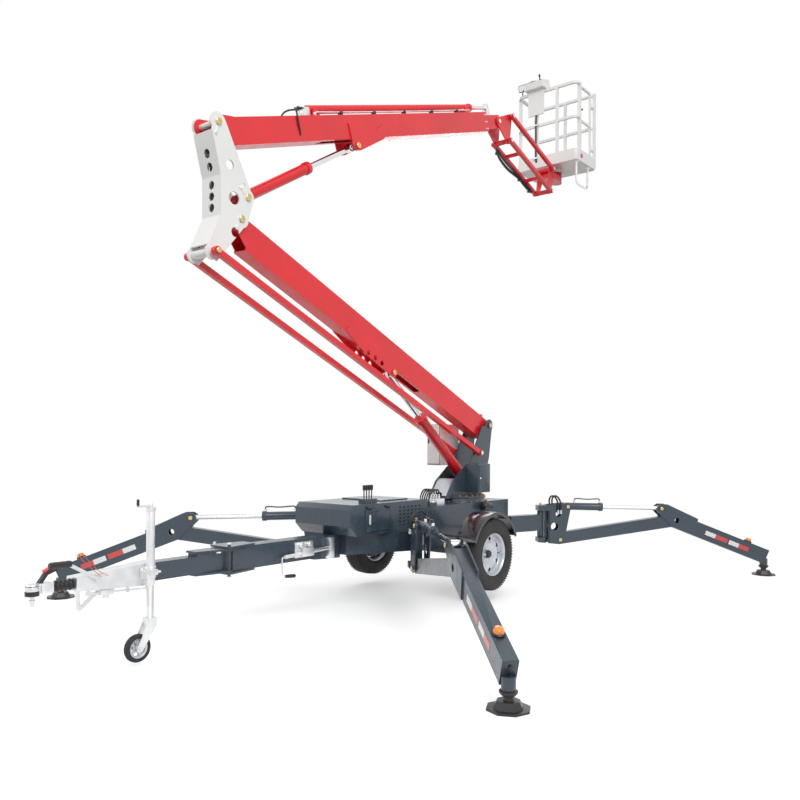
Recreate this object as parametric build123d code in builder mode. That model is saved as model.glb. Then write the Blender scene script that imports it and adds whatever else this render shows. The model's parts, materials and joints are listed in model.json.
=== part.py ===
from build123d import *
import os
from math import cos, radians, sin

# A trailer-mounted articulated boom lift standing on its four outriggers.
# Millimetres, +X towards the tow coupling, +Y to the left, +Z up, floor at Z = 0.

# Clearances
PIN_GAP = 0.3
RUN_GAP = 6.0
SEAT_GAP = 0.3

# Wheels and axle
AXLE_X = -320.0
AXLE_Z = 472.0
AXLE_BEAM = 70.0
TRACK = 1554.0
STUB_RADIUS = 34.0
TYRE_RADIUS = 365.0
TYRE_WIDTH = 200.0
TYRE_SHOULDER = 34.0
RIM_RADIUS = 222.0
RIM_SEAT_RADIUS = 205.0
RIM_WALL = 8.0
DISC_INSET = 62.0
HUB_RADIUS = 78.0
FENDER_RADIUS = 425.0
FENDER_SHEET = 6.0
FENDER_WIDTH = 224.0
FENDER_LIP = 26.0
FENDER_HALF_ANGLE = 68.0

# Chassis weldment
FRAME_FRONT = AXLE_X + 420.0
FRAME_REAR = AXLE_X - 1160.0
FRAME_WIDTH = 660.0
FRAME_BOTTOM = AXLE_Z + AXLE_BEAM / 2
FRAME_TOP = 945.0
FRAME_WALL = 10.0
ARM_WIDTH = 120.0
ARM_BOTTOM = 555.0
ARM_TOP = 745.0
FRONT_KNEE = (AXLE_X + 740.0, 390.0)
DRAWBAR_ROOT_X = AXLE_X + 1430.0
SLEW_X = AXLE_X - 620.0
RING_RADIUS = 300.0
RING_HEIGHT = 40.0

# Outrigger posts and legs: r runs outwards from the post, z is height
FRONT_POST = (AXLE_X + 850.0, 520.0)
REAR_POST = (AXLE_X - 1650.0, 485.0)
FRONT_AZIMUTH = 49.0
REAR_AZIMUTH = 133.0
POST_RADIUS = 38.0
POST_PIN_RADIUS = 20.0
LUG_LOW = (415.0, 470.0)
LUG_HIGH = (790.0, 850.0)
BRACKET_WIDTH = 144.0
BRACKET_PLATE = 12.0
LEG_PIN = (224.0, 446.0)
RAM_PIN = (316.0, 840.0)
KNEE_PIN = (1473.0, 816.0)
FOOT_R = 2790.0
LEG_WIDTH = 104.0
LEG_WALL = 8.0
LEG_PIN_RADIUS = 20.0
LEG_EYE_RADIUS = 56.0
KNEE_PLATE = 12.0
KNEE_EYE_RADIUS = 52.0
PAD_RADIUS = 140.0
PAD_SHEET = 14.0
STUD_TOP = 100.0
STUD_RADIUS = 32.0
SOCKET_RADIUS = 46.0

# Tow bar
BAR_WIDTH = 150.0
BAR_TOP = 745.0
BAR_BOTTOM = 555.0
HINGE_X = AXLE_X + 2737.0
HINGE_Y = 92.0
HINGE_PIN_RADIUS = 13.0
HINGE_EAR = 16.0
TIP_WIDTH = 120.0
TIP_TOP = 706.0
TIP_BOTTOM = 572.0
HOUSING_REAR = AXLE_X + 3397.0
HOUSING_FRONT = AXLE_X + 4005.0
HOUSING_WIDTH = 132.0
HOUSING_DEEP = (545.0, 716.0)
HOUSING_SLIM = (578.0, 672.0)
BOOT_LENGTH = 125.0
BOOT_RADIUS = 41.0
BOOT_FOLDS = 4
HEAD_Z = 625.0
HEAD_SHAFT_RADIUS = 26.0
BALL_X = AXLE_X + 4275.0
BALL_RADIUS = 25.2
BALL_DEPTH = 34.0
HEAD_RADIUS = 42.0

# Support wheel
JACK_X = AXLE_X + 3477.0
JACK_Y = 123.0
JACK_TUBE_RADIUS = 30.0
JACK_INNER_RADIUS = 25.5
JACK_TOP = 1113.0
JACK_TUBE_BOTTOM = 560.0
JACK_INNER_BOTTOM = 330.0
FORK_TRAIL = 100.0
NOSE_WHEEL_RADIUS = 100.0
NOSE_WHEEL_WIDTH = 52.0
NOSE_WHEEL_Z = 126.0
NOSE_AXLE_RADIUS = 8.0

# Power pack
CABINET_FRONT = AXLE_X + 1590.0
CABINET_REAR = FRAME_FRONT + 20.0
CABINET_WIDTH = 700.0
CABINET_TOP = 1030.0
DOOR_FRONT = AXLE_X + 1390.0
DOOR_REAR = AXLE_X + 1020.0
DOOR_BOTTOM = 775.0
DOOR_TOP = 1000.0
DOOR_SHEET = 6.0
DOOR_KNUCKLE = 9.0
DOOR_KNUCKLE_LENGTH = 50.0
DOOR_PIN_RADIUS = 5.0

# Turret
TURRET_BASE = FRAME_TOP + RING_HEIGHT
TURRET_FLOOR = 20.0
TURRET_PLATE = 12.0
TURRET_WIDTH = 238.0
BOOM_FOOT = (AXLE_X - 1080.0, 1803.0)
ROD_FOOT = (AXLE_X - 791.0, 1484.0)
LIFT_FOOT = (AXLE_X - 720.0, 1190.0)
BOOM_PIN_RADIUS = 25.0
ROD_PIN_RADIUS = 16.0
ROD_SPREAD = 340.0
ROD_TUBE = 50.0
ROD_EYE_RADIUS = 34.0

# Lower boom, along its own axis from the foot pin
BOOM_ANGLE = 22.96
BOOM_LENGTH = 4062.0
BOOM_WIDTH = 146.0
BOOM_RISE = 59.0
BOOM_DROP = 184.0
BOOM_WALL = 8.0
BOOM_ROOT = 30.0
BOOM_HEAD = 3900.0
LIFT_EYE = (1798.0, -223.0)
BOOM_SLOT = (1280.0, 1960.0)
SLOT_WIDTH = 84.0

# Knuckle between the booms, placed from the lower boom's head pin
KNUCKLE_WIDTH = 236.0
KNUCKLE_PLATE = 12.0
UPPER_PIVOT_RISE = (239.0, 710.0)
UPPER_RAM_RISE = (-65.5, 188.0)

# Upper boom, along its own axis from its pivot
UPPER_ANGLE = 161.0
UPPER_WIDTH = 200.0
UPPER_RISE = 36.0
UPPER_DROP = 182.0
UPPER_ROOT = 60.0
UPPER_LENGTH = 4140.0
UPPER_EYE = (1655.0, -247.0)
UPPER_SLOT = (1230.0, 1860.0)
INNER_WIDTH = 140.0
INNER_DEPTH = 160.0
INNER_TAIL = 1960.0
INNER_HEAD = 4480.0
INNER_WALL = 8.0
WEAR_PAD = 60.0
REACH_AXIS_RISE = 106.0
REACH_FOOT = 1227.0
REACH_BARREL_END = 3940.0
REACH_EYE = 4290.0
REACH_RADIUS = 38.0
REACH_ROD_RADIUS = 21.0
REACH_ROD_TAIL = 1400.0

# Jib and work platform
LEVEL_PIN_T = 4430.0
LEVEL_PIN_RADIUS = 22.0
JIB_HEAD_LOW = (AXLE_X - 1530.0, 5300.0)
JIB_HEAD_HIGH = (AXLE_X - 1575.0, 5610.0)
JIB_REACH = (-1050.0, -353.0)
JIB_TUBE = 44.0
JIB_SPREAD = 230.0
JIB_PIN_RADIUS = 15.0
JIB_EYE_RADIUS = 30.0
JIB_PLATE = 12.0
TURN_X = AXLE_X - 2950.0
TURN_RADIUS = 75.0
TURN_TOP = 5300.0
CAGE_DEPTH = 570.0
CAGE_WIDTH = 900.0
CAGE_FLOOR = 5330.0
CAGE_TOP = 6375.0
CAGE_TUBE = 34.0
CAGE_CORNER = 90.0
TOE_HEIGHT = 150.0
FLOOR_SHEET = 30.0
GATE_PIN_RADIUS = 8.0
CONSOLE_Y = -150.0


# Shared shapes, added to the part that is being built

def slab(plane, outline, thickness, mode=Mode.ADD):
    """A plate of the given outline, centred on the plane."""
    with BuildSketch(plane) as face:
        Polygon(*outline, align=None)
    extrude(face.sketch, amount=thickness / 2, both=True, mode=mode)


def round_bar(plane, at, radius, length, mode=Mode.ADD):
    """A round bar along the plane's normal, centred on the plane."""
    with BuildSketch(plane) as disc:
        with Locations(at):
            Circle(radius)
    extrude(disc.sketch, amount=length / 2, both=True, mode=mode)


def block(low, high, mode=Mode.ADD):
    """A box between two corners."""
    with BuildSketch(Plane.XY.offset(low[2])) as face:
        with Locations(((low[0] + high[0]) / 2, (low[1] + high[1]) / 2)):
            Rectangle(high[0] - low[0], high[1] - low[1])
    extrude(face.sketch, amount=high[2] - low[2], mode=mode)


def rounded_link(plane, ends, thickness, mode=Mode.ADD):
    """A plate hulled round circles given as (centre, radius)."""
    with BuildSketch(plane) as face:
        for centre, radius in ends:
            with Locations(centre):
                Circle(radius)
        make_hull()
    extrude(face.sketch, amount=thickness / 2, both=True, mode=mode)


def axis_plane(start, end):
    """A plane at start whose normal points to end."""
    way = Vector(*end) - Vector(*start)
    return Plane(origin=start, z_dir=way)


def rod_between(start, end, radius, mode=Mode.ADD):
    """A round rod from start to end."""
    with BuildSketch(axis_plane(start, end)) as disc:
        Circle(radius)
    extrude(disc.sketch, amount=(Vector(*end) - Vector(*start)).length, mode=mode)


def square_between(start, end, size, mode=Mode.ADD):
    """A square bar from start to end, one side level."""
    way = Vector(*end) - Vector(*start)
    level = Vector(0, 0, 1).cross(way)
    if level.length < 1e-6:
        level = Vector(1, 0, 0)
    with BuildSketch(Plane(origin=start, x_dir=level, z_dir=way)) as face:
        Rectangle(size, size)
    extrude(face.sketch, amount=way.length, mode=mode)


def export(part, name):
    part.label = name
    export_step(part, f"parts/{name}.step")


os.makedirs("parts", exist_ok=True)
SIDES = (("left", 1), ("right", -1))

# Planes of the two booms and points worked out from them
lower_plane = Plane(
    origin=(BOOM_FOOT[0], 0, BOOM_FOOT[1]),
    x_dir=(cos(radians(BOOM_ANGLE)), 0, sin(radians(BOOM_ANGLE))),
    z_dir=(0, -1, 0),
)
boom_head = lower_plane.from_local_coords(Vector(BOOM_LENGTH, 0, 0))
HEAD_PIN = (boom_head.X, boom_head.Z)
ROD_HEAD = (
    ROD_FOOT[0] + HEAD_PIN[0] - BOOM_FOOT[0],
    ROD_FOOT[1] + HEAD_PIN[1] - BOOM_FOOT[1],
)
UPPER_PIVOT = (HEAD_PIN[0] + UPPER_PIVOT_RISE[0], HEAD_PIN[1] + UPPER_PIVOT_RISE[1])
UPPER_RAM_FOOT = (HEAD_PIN[0] + UPPER_RAM_RISE[0], HEAD_PIN[1] + UPPER_RAM_RISE[1])
upper_plane = Plane(
    origin=(UPPER_PIVOT[0], 0, UPPER_PIVOT[1]),
    x_dir=(cos(radians(UPPER_ANGLE)), 0, sin(radians(UPPER_ANGLE))),
    z_dir=(0, 1, 0),
)
JIB_END_LOW = (JIB_HEAD_LOW[0] + JIB_REACH[0], JIB_HEAD_LOW[1] + JIB_REACH[1])
JIB_END_HIGH = (JIB_HEAD_HIGH[0] + JIB_REACH[0], JIB_HEAD_HIGH[1] + JIB_REACH[1])
boom_middle = (BOOM_RISE - BOOM_DROP) / 2
upper_middle = (UPPER_RISE - UPPER_DROP) / 2


def side_point(plane, along, off):
    """A point of a boom's own plane, in the frame of the whole machine."""
    return plane.from_local_coords(Vector(along, off, 0))


# Wheels: tyre and disc wheel on each stub axle

def wheel_plane(side):
    return Plane(origin=(AXLE_X, side * TRACK / 2, AXLE_Z), x_dir=(-side, 0, 0), z_dir=(0, side, 0))


for hand, side in SIDES:
    hub = wheel_plane(side)
    section = Plane(origin=hub.origin, x_dir=(0, 0, 1), z_dir=(side, 0, 0))
    wide = TYRE_WIDTH / 2
    inner = RIM_SEAT_RADIUS + PIN_GAP
    with BuildPart() as tyre:
        with BuildSketch(section) as profile:
            Polygon(
                (inner, -wide * 0.72),
                (inner + 60, -wide),
                (TYRE_RADIUS - 60, -wide),
                (TYRE_RADIUS - 8, -wide + TYRE_SHOULDER),
                (TYRE_RADIUS, 0),
                (TYRE_RADIUS - 8, wide - TYRE_SHOULDER),
                (TYRE_RADIUS - 60, wide),
                (inner + 60, wide),
                (inner, wide * 0.72),
                align=None,
            )
        revolve(axis=Axis(hub.origin, hub.z_dir))
    export(tyre.part, f"{hand}_tyre")

    lip = wide * 0.72
    disc = lip - DISC_INSET
    with BuildPart() as rim:
        with BuildSketch(section) as profile:
            Polygon(
                (RIM_SEAT_RADIUS, -lip),
                (RIM_SEAT_RADIUS, lip),
                (RIM_SEAT_RADIUS - RIM_WALL, lip),
                (RIM_SEAT_RADIUS - 26, disc + 14),
                (HUB_RADIUS + 60, disc + 22),
                (HUB_RADIUS + 34, disc),
                (STUB_RADIUS + PIN_GAP, disc),
                (STUB_RADIUS + PIN_GAP, disc - 46),
                (HUB_RADIUS, disc - 46),
                (HUB_RADIUS + 8, disc - 10),
                (HUB_RADIUS + 56, disc + 8),
                (RIM_SEAT_RADIUS - 34, disc),
                (RIM_SEAT_RADIUS - 26, -lip + 20),
                (RIM_SEAT_RADIUS - RIM_WALL, -lip),
                align=None,
            )
        revolve(axis=Axis(hub.origin, hub.z_dir))
    export(rim.part, f"{hand}_rim")

with BuildPart() as axle:
    beam_end = TRACK / 2 - TYRE_WIDTH / 2 - 30
    block(
        (AXLE_X - AXLE_BEAM / 2, -beam_end, AXLE_Z - AXLE_BEAM / 2),
        (AXLE_X + AXLE_BEAM / 2, beam_end, AXLE_Z + AXLE_BEAM / 2),
    )
    stub_end = TRACK / 2 + TYRE_WIDTH / 2 * 0.72 - DISC_INSET
    round_bar(Plane.XZ, (AXLE_X, AXLE_Z), STUB_RADIUS, 2 * stub_end)
export(axle.part, "axle")

with BuildPart() as fenders:
    for hand, side in SIDES:
        hub = wheel_plane(side)
        with BuildSketch(hub) as guard:
            with BuildLine():
                CenterArc((0, 0), FENDER_RADIUS, 90 - FENDER_HALF_ANGLE, 2 * FENDER_HALF_ANGLE)
            trace(line_width=FENDER_SHEET)
        extrude(guard.sketch, amount=FENDER_WIDTH / 2, both=True)
        with BuildSketch(hub.offset(FENDER_WIDTH / 2)) as edge:
            with BuildLine():
                CenterArc(
                    (0, 0), FENDER_RADIUS - FENDER_LIP / 2,
                    90 - FENDER_HALF_ANGLE, 2 * FENDER_HALF_ANGLE,
                )
            trace(line_width=FENDER_LIP + FENDER_SHEET)
        extrude(edge.sketch, amount=FENDER_SHEET / 2, both=True)
        for turn in (-FENDER_HALF_ANGLE + 6, FENDER_HALF_ANGLE - 6):
            stay_x = AXLE_X + FENDER_RADIUS * sin(radians(turn))
            stay_z = AXLE_Z + FENDER_RADIUS * cos(radians(turn))
            rod_between(
                (stay_x, side * FRAME_WIDTH / 2, stay_z),
                (stay_x, side * (TRACK - FENDER_WIDTH + 2 * FENDER_LIP) / 2, stay_z),
                FENDER_LIP / 2,
            )
export(fenders.part, "fenders")


# Chassis: main box, splayed arms with the outrigger posts, tow bar

with BuildPart() as main_frame:
    block(
        (FRAME_REAR, -FRAME_WIDTH / 2, FRAME_BOTTOM),
        (FRAME_FRONT, FRAME_WIDTH / 2, FRAME_TOP),
    )
    offset(amount=-FRAME_WALL, openings=main_frame.faces().sort_by(Axis.Z)[0])
    with BuildSketch(Plane.XY.offset(FRAME_TOP)) as ring:
        with Locations((SLEW_X, 0)):
            Circle(RING_RADIUS)
            Circle(RING_RADIUS - 70, mode=Mode.SUBTRACT)
    extrude(ring.sketch, amount=RING_HEIGHT - SEAT_GAP)
export(main_frame.part, "main_frame")


def arm_set(root_x, knee, post, nose):
    """The pair of box arms that carry two posts, as one weldment per end."""
    for hand, side in SIDES:
        half = FRAME_WIDTH / 2 - ARM_WIDTH / 2
        corners = [(root_x, side * half), (knee[0], side * knee[1])]
        if nose is not None:
            corners.append((nose, side * BAR_WIDTH / 4))
        with BuildSketch(Plane.XY.offset(ARM_BOTTOM)) as path:
            with BuildLine():
                Polyline(*corners)
            trace(line_width=ARM_WIDTH)
            with BuildLine():
                Line((knee[0], side * knee[1]), (post[0], side * post[1]))
            trace(line_width=2 * POST_RADIUS)
        extrude(path.sketch, amount=ARM_TOP - ARM_BOTTOM)
        low = LUG_LOW[1] + SEAT_GAP
        high = LUG_HIGH[0] - SEAT_GAP
        middle = Plane.XY.offset((low + high) / 2)
        round_bar(middle, (post[0], side * post[1]), POST_RADIUS, high - low)
        pin_middle = Plane.XY.offset((LUG_LOW[0] + LUG_HIGH[1]) / 2)
        pin_length = LUG_HIGH[1] - LUG_LOW[0] + 2 * SEAT_GAP
        round_bar(pin_middle, (post[0], side * post[1]), POST_PIN_RADIUS, pin_length)


with BuildPart() as front_arms:
    arm_set(FRAME_FRONT, FRONT_KNEE, FRONT_POST, DRAWBAR_ROOT_X + ARM_WIDTH)
    block(
        (FRAME_FRONT - ARM_WIDTH, -BAR_WIDTH, ARM_BOTTOM),
        (FRAME_FRONT, BAR_WIDTH, ARM_TOP),
        mode=Mode.SUBTRACT,
    )
    split(bisect_by=Plane(origin=(FRAME_FRONT, 0, 0), z_dir=(1, 0, 0)), keep=Keep.TOP)
    split(bisect_by=Plane(origin=(DRAWBAR_ROOT_X, 0, 0), z_dir=(1, 0, 0)), keep=Keep.BOTTOM)
export(front_arms.part, "front_arms")

with BuildPart() as rear_arms:
    rear_knee = (REAR_POST[0] + ARM_WIDTH, REAR_POST[1] - ARM_WIDTH / 3)
    arm_set(FRAME_REAR + ARM_WIDTH, rear_knee, REAR_POST, None)
    split(bisect_by=Plane(origin=(FRAME_REAR, 0, 0), z_dir=(1, 0, 0)), keep=Keep.BOTTOM)
export(rear_arms.part, "rear_arms")

with BuildPart() as drawbar:
    block(
        (DRAWBAR_ROOT_X, -BAR_WIDTH / 2, BAR_BOTTOM),
        (HINGE_X - 50, BAR_WIDTH / 2, BAR_TOP),
    )
    for low in (BAR_BOTTOM - HINGE_EAR, BAR_TOP):
        with BuildSketch(Plane.XY.offset(low)) as ear:
            with Locations((HINGE_X - 150, 0)):
                Rectangle(260, BAR_WIDTH)
            with Locations((HINGE_X, HINGE_Y)):
                Circle(34)
            with Locations((HINGE_X, -HINGE_Y)):
                Circle(34)
            make_hull()
        extrude(ear.sketch, amount=HINGE_EAR)
    ear_middle = Plane.XY.offset((BAR_BOTTOM + BAR_TOP) / 2)
    pin_length = BAR_TOP - BAR_BOTTOM + 4 * HINGE_EAR
    round_bar(ear_middle, (HINGE_X, HINGE_Y), HINGE_PIN_RADIUS, pin_length)
export(drawbar.part, "drawbar")


# Power pack cabinet, its door and the outrigger levers

with BuildPart() as power_cabinet:
    half = CABINET_WIDTH / 2
    slope = 90
    with BuildSketch(Plane.XZ) as side_view:
        Polygon(
            (CABINET_REAR, ARM_TOP),
            (CABINET_FRONT - slope, ARM_TOP),
            (CABINET_FRONT, ARM_TOP + slope),
            (CABINET_FRONT, CABINET_TOP - slope / 2),
            (CABINET_FRONT - slope / 2, CABINET_TOP),
            (CABINET_REAR, CABINET_TOP),
            align=None,
        )
    extrude(side_view.sketch, amount=half, both=True)
    grille_middle = (CABINET_REAR + DOOR_REAR) / 2
    for side in (-1, 1):
        face = Plane(
            origin=(grille_middle, side * half, (DOOR_BOTTOM + DOOR_TOP) / 2),
            x_dir=(-side, 0, 0), z_dir=(0, side, 0),
        )
        with BuildSketch(face) as slots:
            with GridLocations(62, 34, 6, 6):
                Rectangle(34, 14)
        extrude(slots.sketch, amount=-FRAME_WALL, mode=Mode.SUBTRACT)
    for x in (DOOR_REAR + DOOR_KNUCKLE_LENGTH, DOOR_FRONT - DOOR_KNUCKLE_LENGTH):
        ear = x + DOOR_KNUCKLE_LENGTH / 2 + 1
        block(
            (ear, half, DOOR_TOP - DOOR_KNUCKLE),
            (ear + 8, half + 2 * DOOR_KNUCKLE, DOOR_TOP + DOOR_KNUCKLE),
        )
        round_bar(
            Plane.YZ.offset(x + 2), (half + DOOR_KNUCKLE + SEAT_GAP, DOOR_TOP),
            DOOR_PIN_RADIUS, DOOR_KNUCKLE_LENGTH + 4,
        )
    lever_x = (DOOR_FRONT + DOOR_REAR) / 2 + 30
    block((lever_x - 80, 200, CABINET_TOP), (lever_x + 80, 290, CABINET_TOP + 40))
    for step in range(4):
        x = lever_x - 54 + 36 * step
        rod_between((x, 245, CABINET_TOP + 40), (x, 245, CABINET_TOP + 120), 6)
        rod_between((x, 245, CABINET_TOP + 120), (x, 245, CABINET_TOP + 165), 12)
export(power_cabinet.part, "power_cabinet")

with BuildPart() as cabinet_door:
    low_y = CABINET_WIDTH / 2 + SEAT_GAP
    block(
        (DOOR_REAR, low_y, DOOR_BOTTOM),
        (DOOR_FRONT, low_y + DOOR_SHEET, DOOR_TOP - 2 * DOOR_KNUCKLE),
    )
    for x in (DOOR_REAR + DOOR_KNUCKLE_LENGTH, DOOR_FRONT - DOOR_KNUCKLE_LENGTH):
        knuckle_plane = Plane.YZ.offset(x)
        rounded_link(
            knuckle_plane,
            (
                ((low_y + DOOR_KNUCKLE, DOOR_TOP), DOOR_KNUCKLE - SEAT_GAP),
                ((low_y + DOOR_SHEET / 2, DOOR_TOP - 3 * DOOR_KNUCKLE), DOOR_SHEET / 2),
            ),
            DOOR_KNUCKLE_LENGTH,
        )
        round_bar(
            knuckle_plane, (low_y + DOOR_KNUCKLE, DOOR_TOP),
            DOOR_PIN_RADIUS + PIN_GAP, 2 * DOOR_KNUCKLE_LENGTH, mode=Mode.SUBTRACT,
        )
export(cabinet_door.part, "cabinet_door")


# Outriggers: swing bracket, leg, ram and foot at each post
# name, post, sign of Y, azimuth of the leg in degrees
LEGS = (
    ("front_left", FRONT_POST, 1, FRONT_AZIMUTH),
    ("front_right", FRONT_POST, -1, FRONT_AZIMUTH),
    ("rear_left", REAR_POST, 1, REAR_AZIMUTH),
    ("rear_right", REAR_POST, -1, REAR_AZIMUTH),
)


def post_plane(post, side, azimuth):
    """Upright plane of a leg: local x runs outwards from the post, local y is height."""
    turn = radians(side * azimuth)
    return Plane(
        origin=(post[0], side * post[1], 0),
        x_dir=(cos(turn), sin(turn), 0),
        z_dir=(sin(turn), -cos(turn), 0),
    )


def swing_bracket(plane):
    """C-shaped bracket: two lugs on the post pin and two cheeks for leg and ram."""
    reach = -42.0
    throat = POST_RADIUS + RUN_GAP
    with BuildPart() as bracket:
        outline = (
            (reach, LUG_HIGH[1]), (RAM_PIN[0] - 20, LUG_HIGH[1] + 32),
            (RAM_PIN[0] + 40, RAM_PIN[1]), (LEG_PIN[0] + 52, LEG_PIN[1] - 10),
            (LEG_PIN[0] - 20, LEG_PIN[1] - 54), (reach, LUG_LOW[0]), (reach, LUG_LOW[1]),
            (throat, LUG_LOW[1]), (throat, LUG_HIGH[0]), (reach, LUG_HIGH[0]),
        )
        slab(plane, outline, BRACKET_WIDTH)
        pocket = (
            (throat + 18, 0), (LEG_PIN[0] + 400, 0),
            (LEG_PIN[0] + 400, LUG_HIGH[1] + 200), (throat + 18, LUG_HIGH[1] + 200),
        )
        slab(plane, pocket, BRACKET_WIDTH - 2 * BRACKET_PLATE, mode=Mode.SUBTRACT)
        for corner in (-1, 1):
            with BuildSketch(Plane(origin=plane.origin, x_dir=plane.x_dir, z_dir=(0, 0, 1))) as cut:
                Polygon(
                    (throat - 4, corner * 36), (throat - 4, corner * 90),
                    (throat + 60, corner * 90), (throat + 60, corner * 74), align=None,
                )
            extrude(
                cut.sketch, amount=LUG_HIGH[0], mode=Mode.SUBTRACT,
            )
        for at, radius in (((206, 752), 36), ((160, 602), 48)):
            round_bar(plane, at, radius, 2 * BRACKET_WIDTH, mode=Mode.SUBTRACT)
        upright = Plane.XY.offset((LUG_LOW[0] + LUG_HIGH[1]) / 2)
        round_bar(
            upright, (plane.origin.X, plane.origin.Y), POST_PIN_RADIUS + PIN_GAP, 1000,
            mode=Mode.SUBTRACT,
        )
        for at in (LEG_PIN, RAM_PIN):
            round_bar(plane, at, LEG_PIN_RADIUS, BRACKET_WIDTH + 2 * BRACKET_PLATE)
    return bracket.part


def leg_beam(plane):
    """Cranked box leg, with cheek plates at the knee and a socket for the foot."""
    with BuildPart() as leg:
        outline = (
            (LEG_PIN[0] - 9, LEG_PIN[1] - 58), (1606, 592), (FOOT_R - 30, 145),
            (FOOT_R + 40, 305), (1560, 800), (1461, 713), (LEG_PIN[0] + 40, LEG_PIN[1] + 88),
        )
        slab(plane, outline, LEG_WIDTH)
        round_bar(plane, LEG_PIN, LEG_EYE_RADIUS, LEG_WIDTH)
        hollow = (
            (LEG_PIN[0] + 100, LEG_PIN[1] - 34), (1606, 602), (FOOT_R - 60, 168),
            (FOOT_R + 60, 285), (1560, 785), (1465, 703), (LEG_PIN[0] + 100, LEG_PIN[1] + 88),
        )
        slab(plane, hollow, LEG_WIDTH - 2 * LEG_WALL, mode=Mode.SUBTRACT)
        cheek = (LEG_WIDTH + KNEE_PLATE) / 2
        knee_outline = (
            (KNEE_PIN[0] - 60, KNEE_PIN[1] - 30), (KNEE_PIN[0] - 48, KNEE_PIN[1] + 30),
            (KNEE_PIN[0] - 10, KNEE_PIN[1] + 52), (KNEE_PIN[0] + 75, KNEE_PIN[1] + 50),
            (1930, 690), (1905, 482), (1606, 592),
        )
        for side in (-1, 1):
            slab(plane.offset(side * cheek), knee_outline, KNEE_PLATE)
            round_bar(
                plane.offset(side * (cheek + KNEE_PLATE)), KNEE_PIN, LEG_PIN_RADIUS + 4, KNEE_PLATE
            )
        round_bar(plane, (1670, 671), 32, LEG_WIDTH + 4 * KNEE_PLATE, mode=Mode.SUBTRACT)
        foot_centre = plane.from_local_coords(Vector(FOOT_R, STUD_TOP, 0))
        with BuildSketch(Plane(origin=foot_centre, z_dir=(0, 0, 1))) as socket:
            Circle(SOCKET_RADIUS)
        extrude(socket.sketch, amount=100)
        round_bar(
            plane, LEG_PIN, LEG_PIN_RADIUS + PIN_GAP, 2 * LEG_WIDTH, mode=Mode.SUBTRACT
        )
    return leg.part


def foot_pad(plane):
    """Eight-sided pressed pad with the stud of its ball joint."""
    centre = plane.from_local_coords(Vector(FOOT_R, 0, 0))
    floor = Plane(origin=centre, x_dir=plane.x_dir, z_dir=(0, 0, 1))
    with BuildPart() as pad:
        with BuildSketch(floor) as base:
            RegularPolygon(PAD_RADIUS, 8)
        extrude(base.sketch, amount=PAD_SHEET)
        with BuildSketch(floor.offset(PAD_SHEET)) as wide:
            RegularPolygon(PAD_RADIUS * 0.7, 8)
        extrude(wide.sketch, amount=(STUD_TOP - PAD_SHEET) / 2, taper=28)
        with BuildSketch(floor) as stud:
            Circle(STUD_RADIUS)
        extrude(stud.sketch, amount=STUD_TOP)
    return pad.part


def ram_barrel(foot, eye, pin_way, length, radius, rod_radius, eye_width, pin_radius):
    """Barrel of a hydraulic ram: foot eye, tube and gland, bored for its rod."""
    line = axis_plane(foot, eye)
    with BuildPart() as barrel:
        with BuildSketch(line) as tube:
            Circle(radius)
        extrude(tube.sketch, amount=length)
        with BuildSketch(line.offset(length - radius)) as gland:
            Circle(radius * 1.16)
        extrude(gland.sketch, amount=radius)
        round_bar(Plane(origin=foot, z_dir=pin_way), (0, 0), radius * 0.98, eye_width)
        with BuildSketch(line.offset(2.4 * radius)) as bore:
            Circle(rod_radius + PIN_GAP)
        extrude(bore.sketch, amount=length, mode=Mode.SUBTRACT)
        pin = Plane(origin=foot, z_dir=pin_way)
        round_bar(pin, (0, 0), pin_radius + PIN_GAP, 4 * eye_width, mode=Mode.SUBTRACT)
    return barrel.part


def ram_rod(foot, eye, pin_way, tail, radius, eye_radius, eye_width, pin_radius):
    """Rod of a hydraulic ram from its tail inside the barrel to its eye."""
    line = axis_plane(foot, eye)
    reach = (Vector(*eye) - Vector(*foot)).length
    with BuildPart() as rod:
        with BuildSketch(line.offset(tail)) as bar:
            Circle(radius)
        extrude(bar.sketch, amount=reach - tail)
        pin = Plane(origin=eye, z_dir=pin_way)
        round_bar(pin, (0, 0), eye_radius, eye_width)
        round_bar(pin, (0, 0), pin_radius + PIN_GAP, 4 * eye_width, mode=Mode.SUBTRACT)
    return rod.part


LEG_BARREL = 440.0
LEG_BARREL_RADIUS = 44.0
LEG_ROD_RADIUS = 24.0
LEG_ROD_TAIL = 350.0
LEG_ROD_EYE = 38.0
LEG_RAM_EYE_WIDTH = 80.0

for name, post, side, azimuth in LEGS:
    plane = post_plane(post, side, azimuth)
    pin_way = plane.z_dir
    foot = tuple(plane.from_local_coords(Vector(RAM_PIN[0], RAM_PIN[1], 0)))
    eye = tuple(plane.from_local_coords(Vector(KNEE_PIN[0], KNEE_PIN[1], 0)))
    export(swing_bracket(plane), f"{name}_bracket")
    export(leg_beam(plane), f"{name}_leg")
    export(foot_pad(plane), f"{name}_foot")
    barrel = ram_barrel(
        foot, eye, pin_way, LEG_BARREL, LEG_BARREL_RADIUS, LEG_ROD_RADIUS,
        LEG_RAM_EYE_WIDTH, LEG_PIN_RADIUS,
    )
    export(barrel, f"{name}_ram_barrel")
    rod = ram_rod(
        foot, eye, pin_way, LEG_ROD_TAIL, LEG_ROD_RADIUS, LEG_ROD_EYE,
        LEG_RAM_EYE_WIDTH, LEG_PIN_RADIUS,
    )
    export(rod, f"{name}_ram_rod")


# Folding nose of the tow bar with its coupling and support wheel

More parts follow.
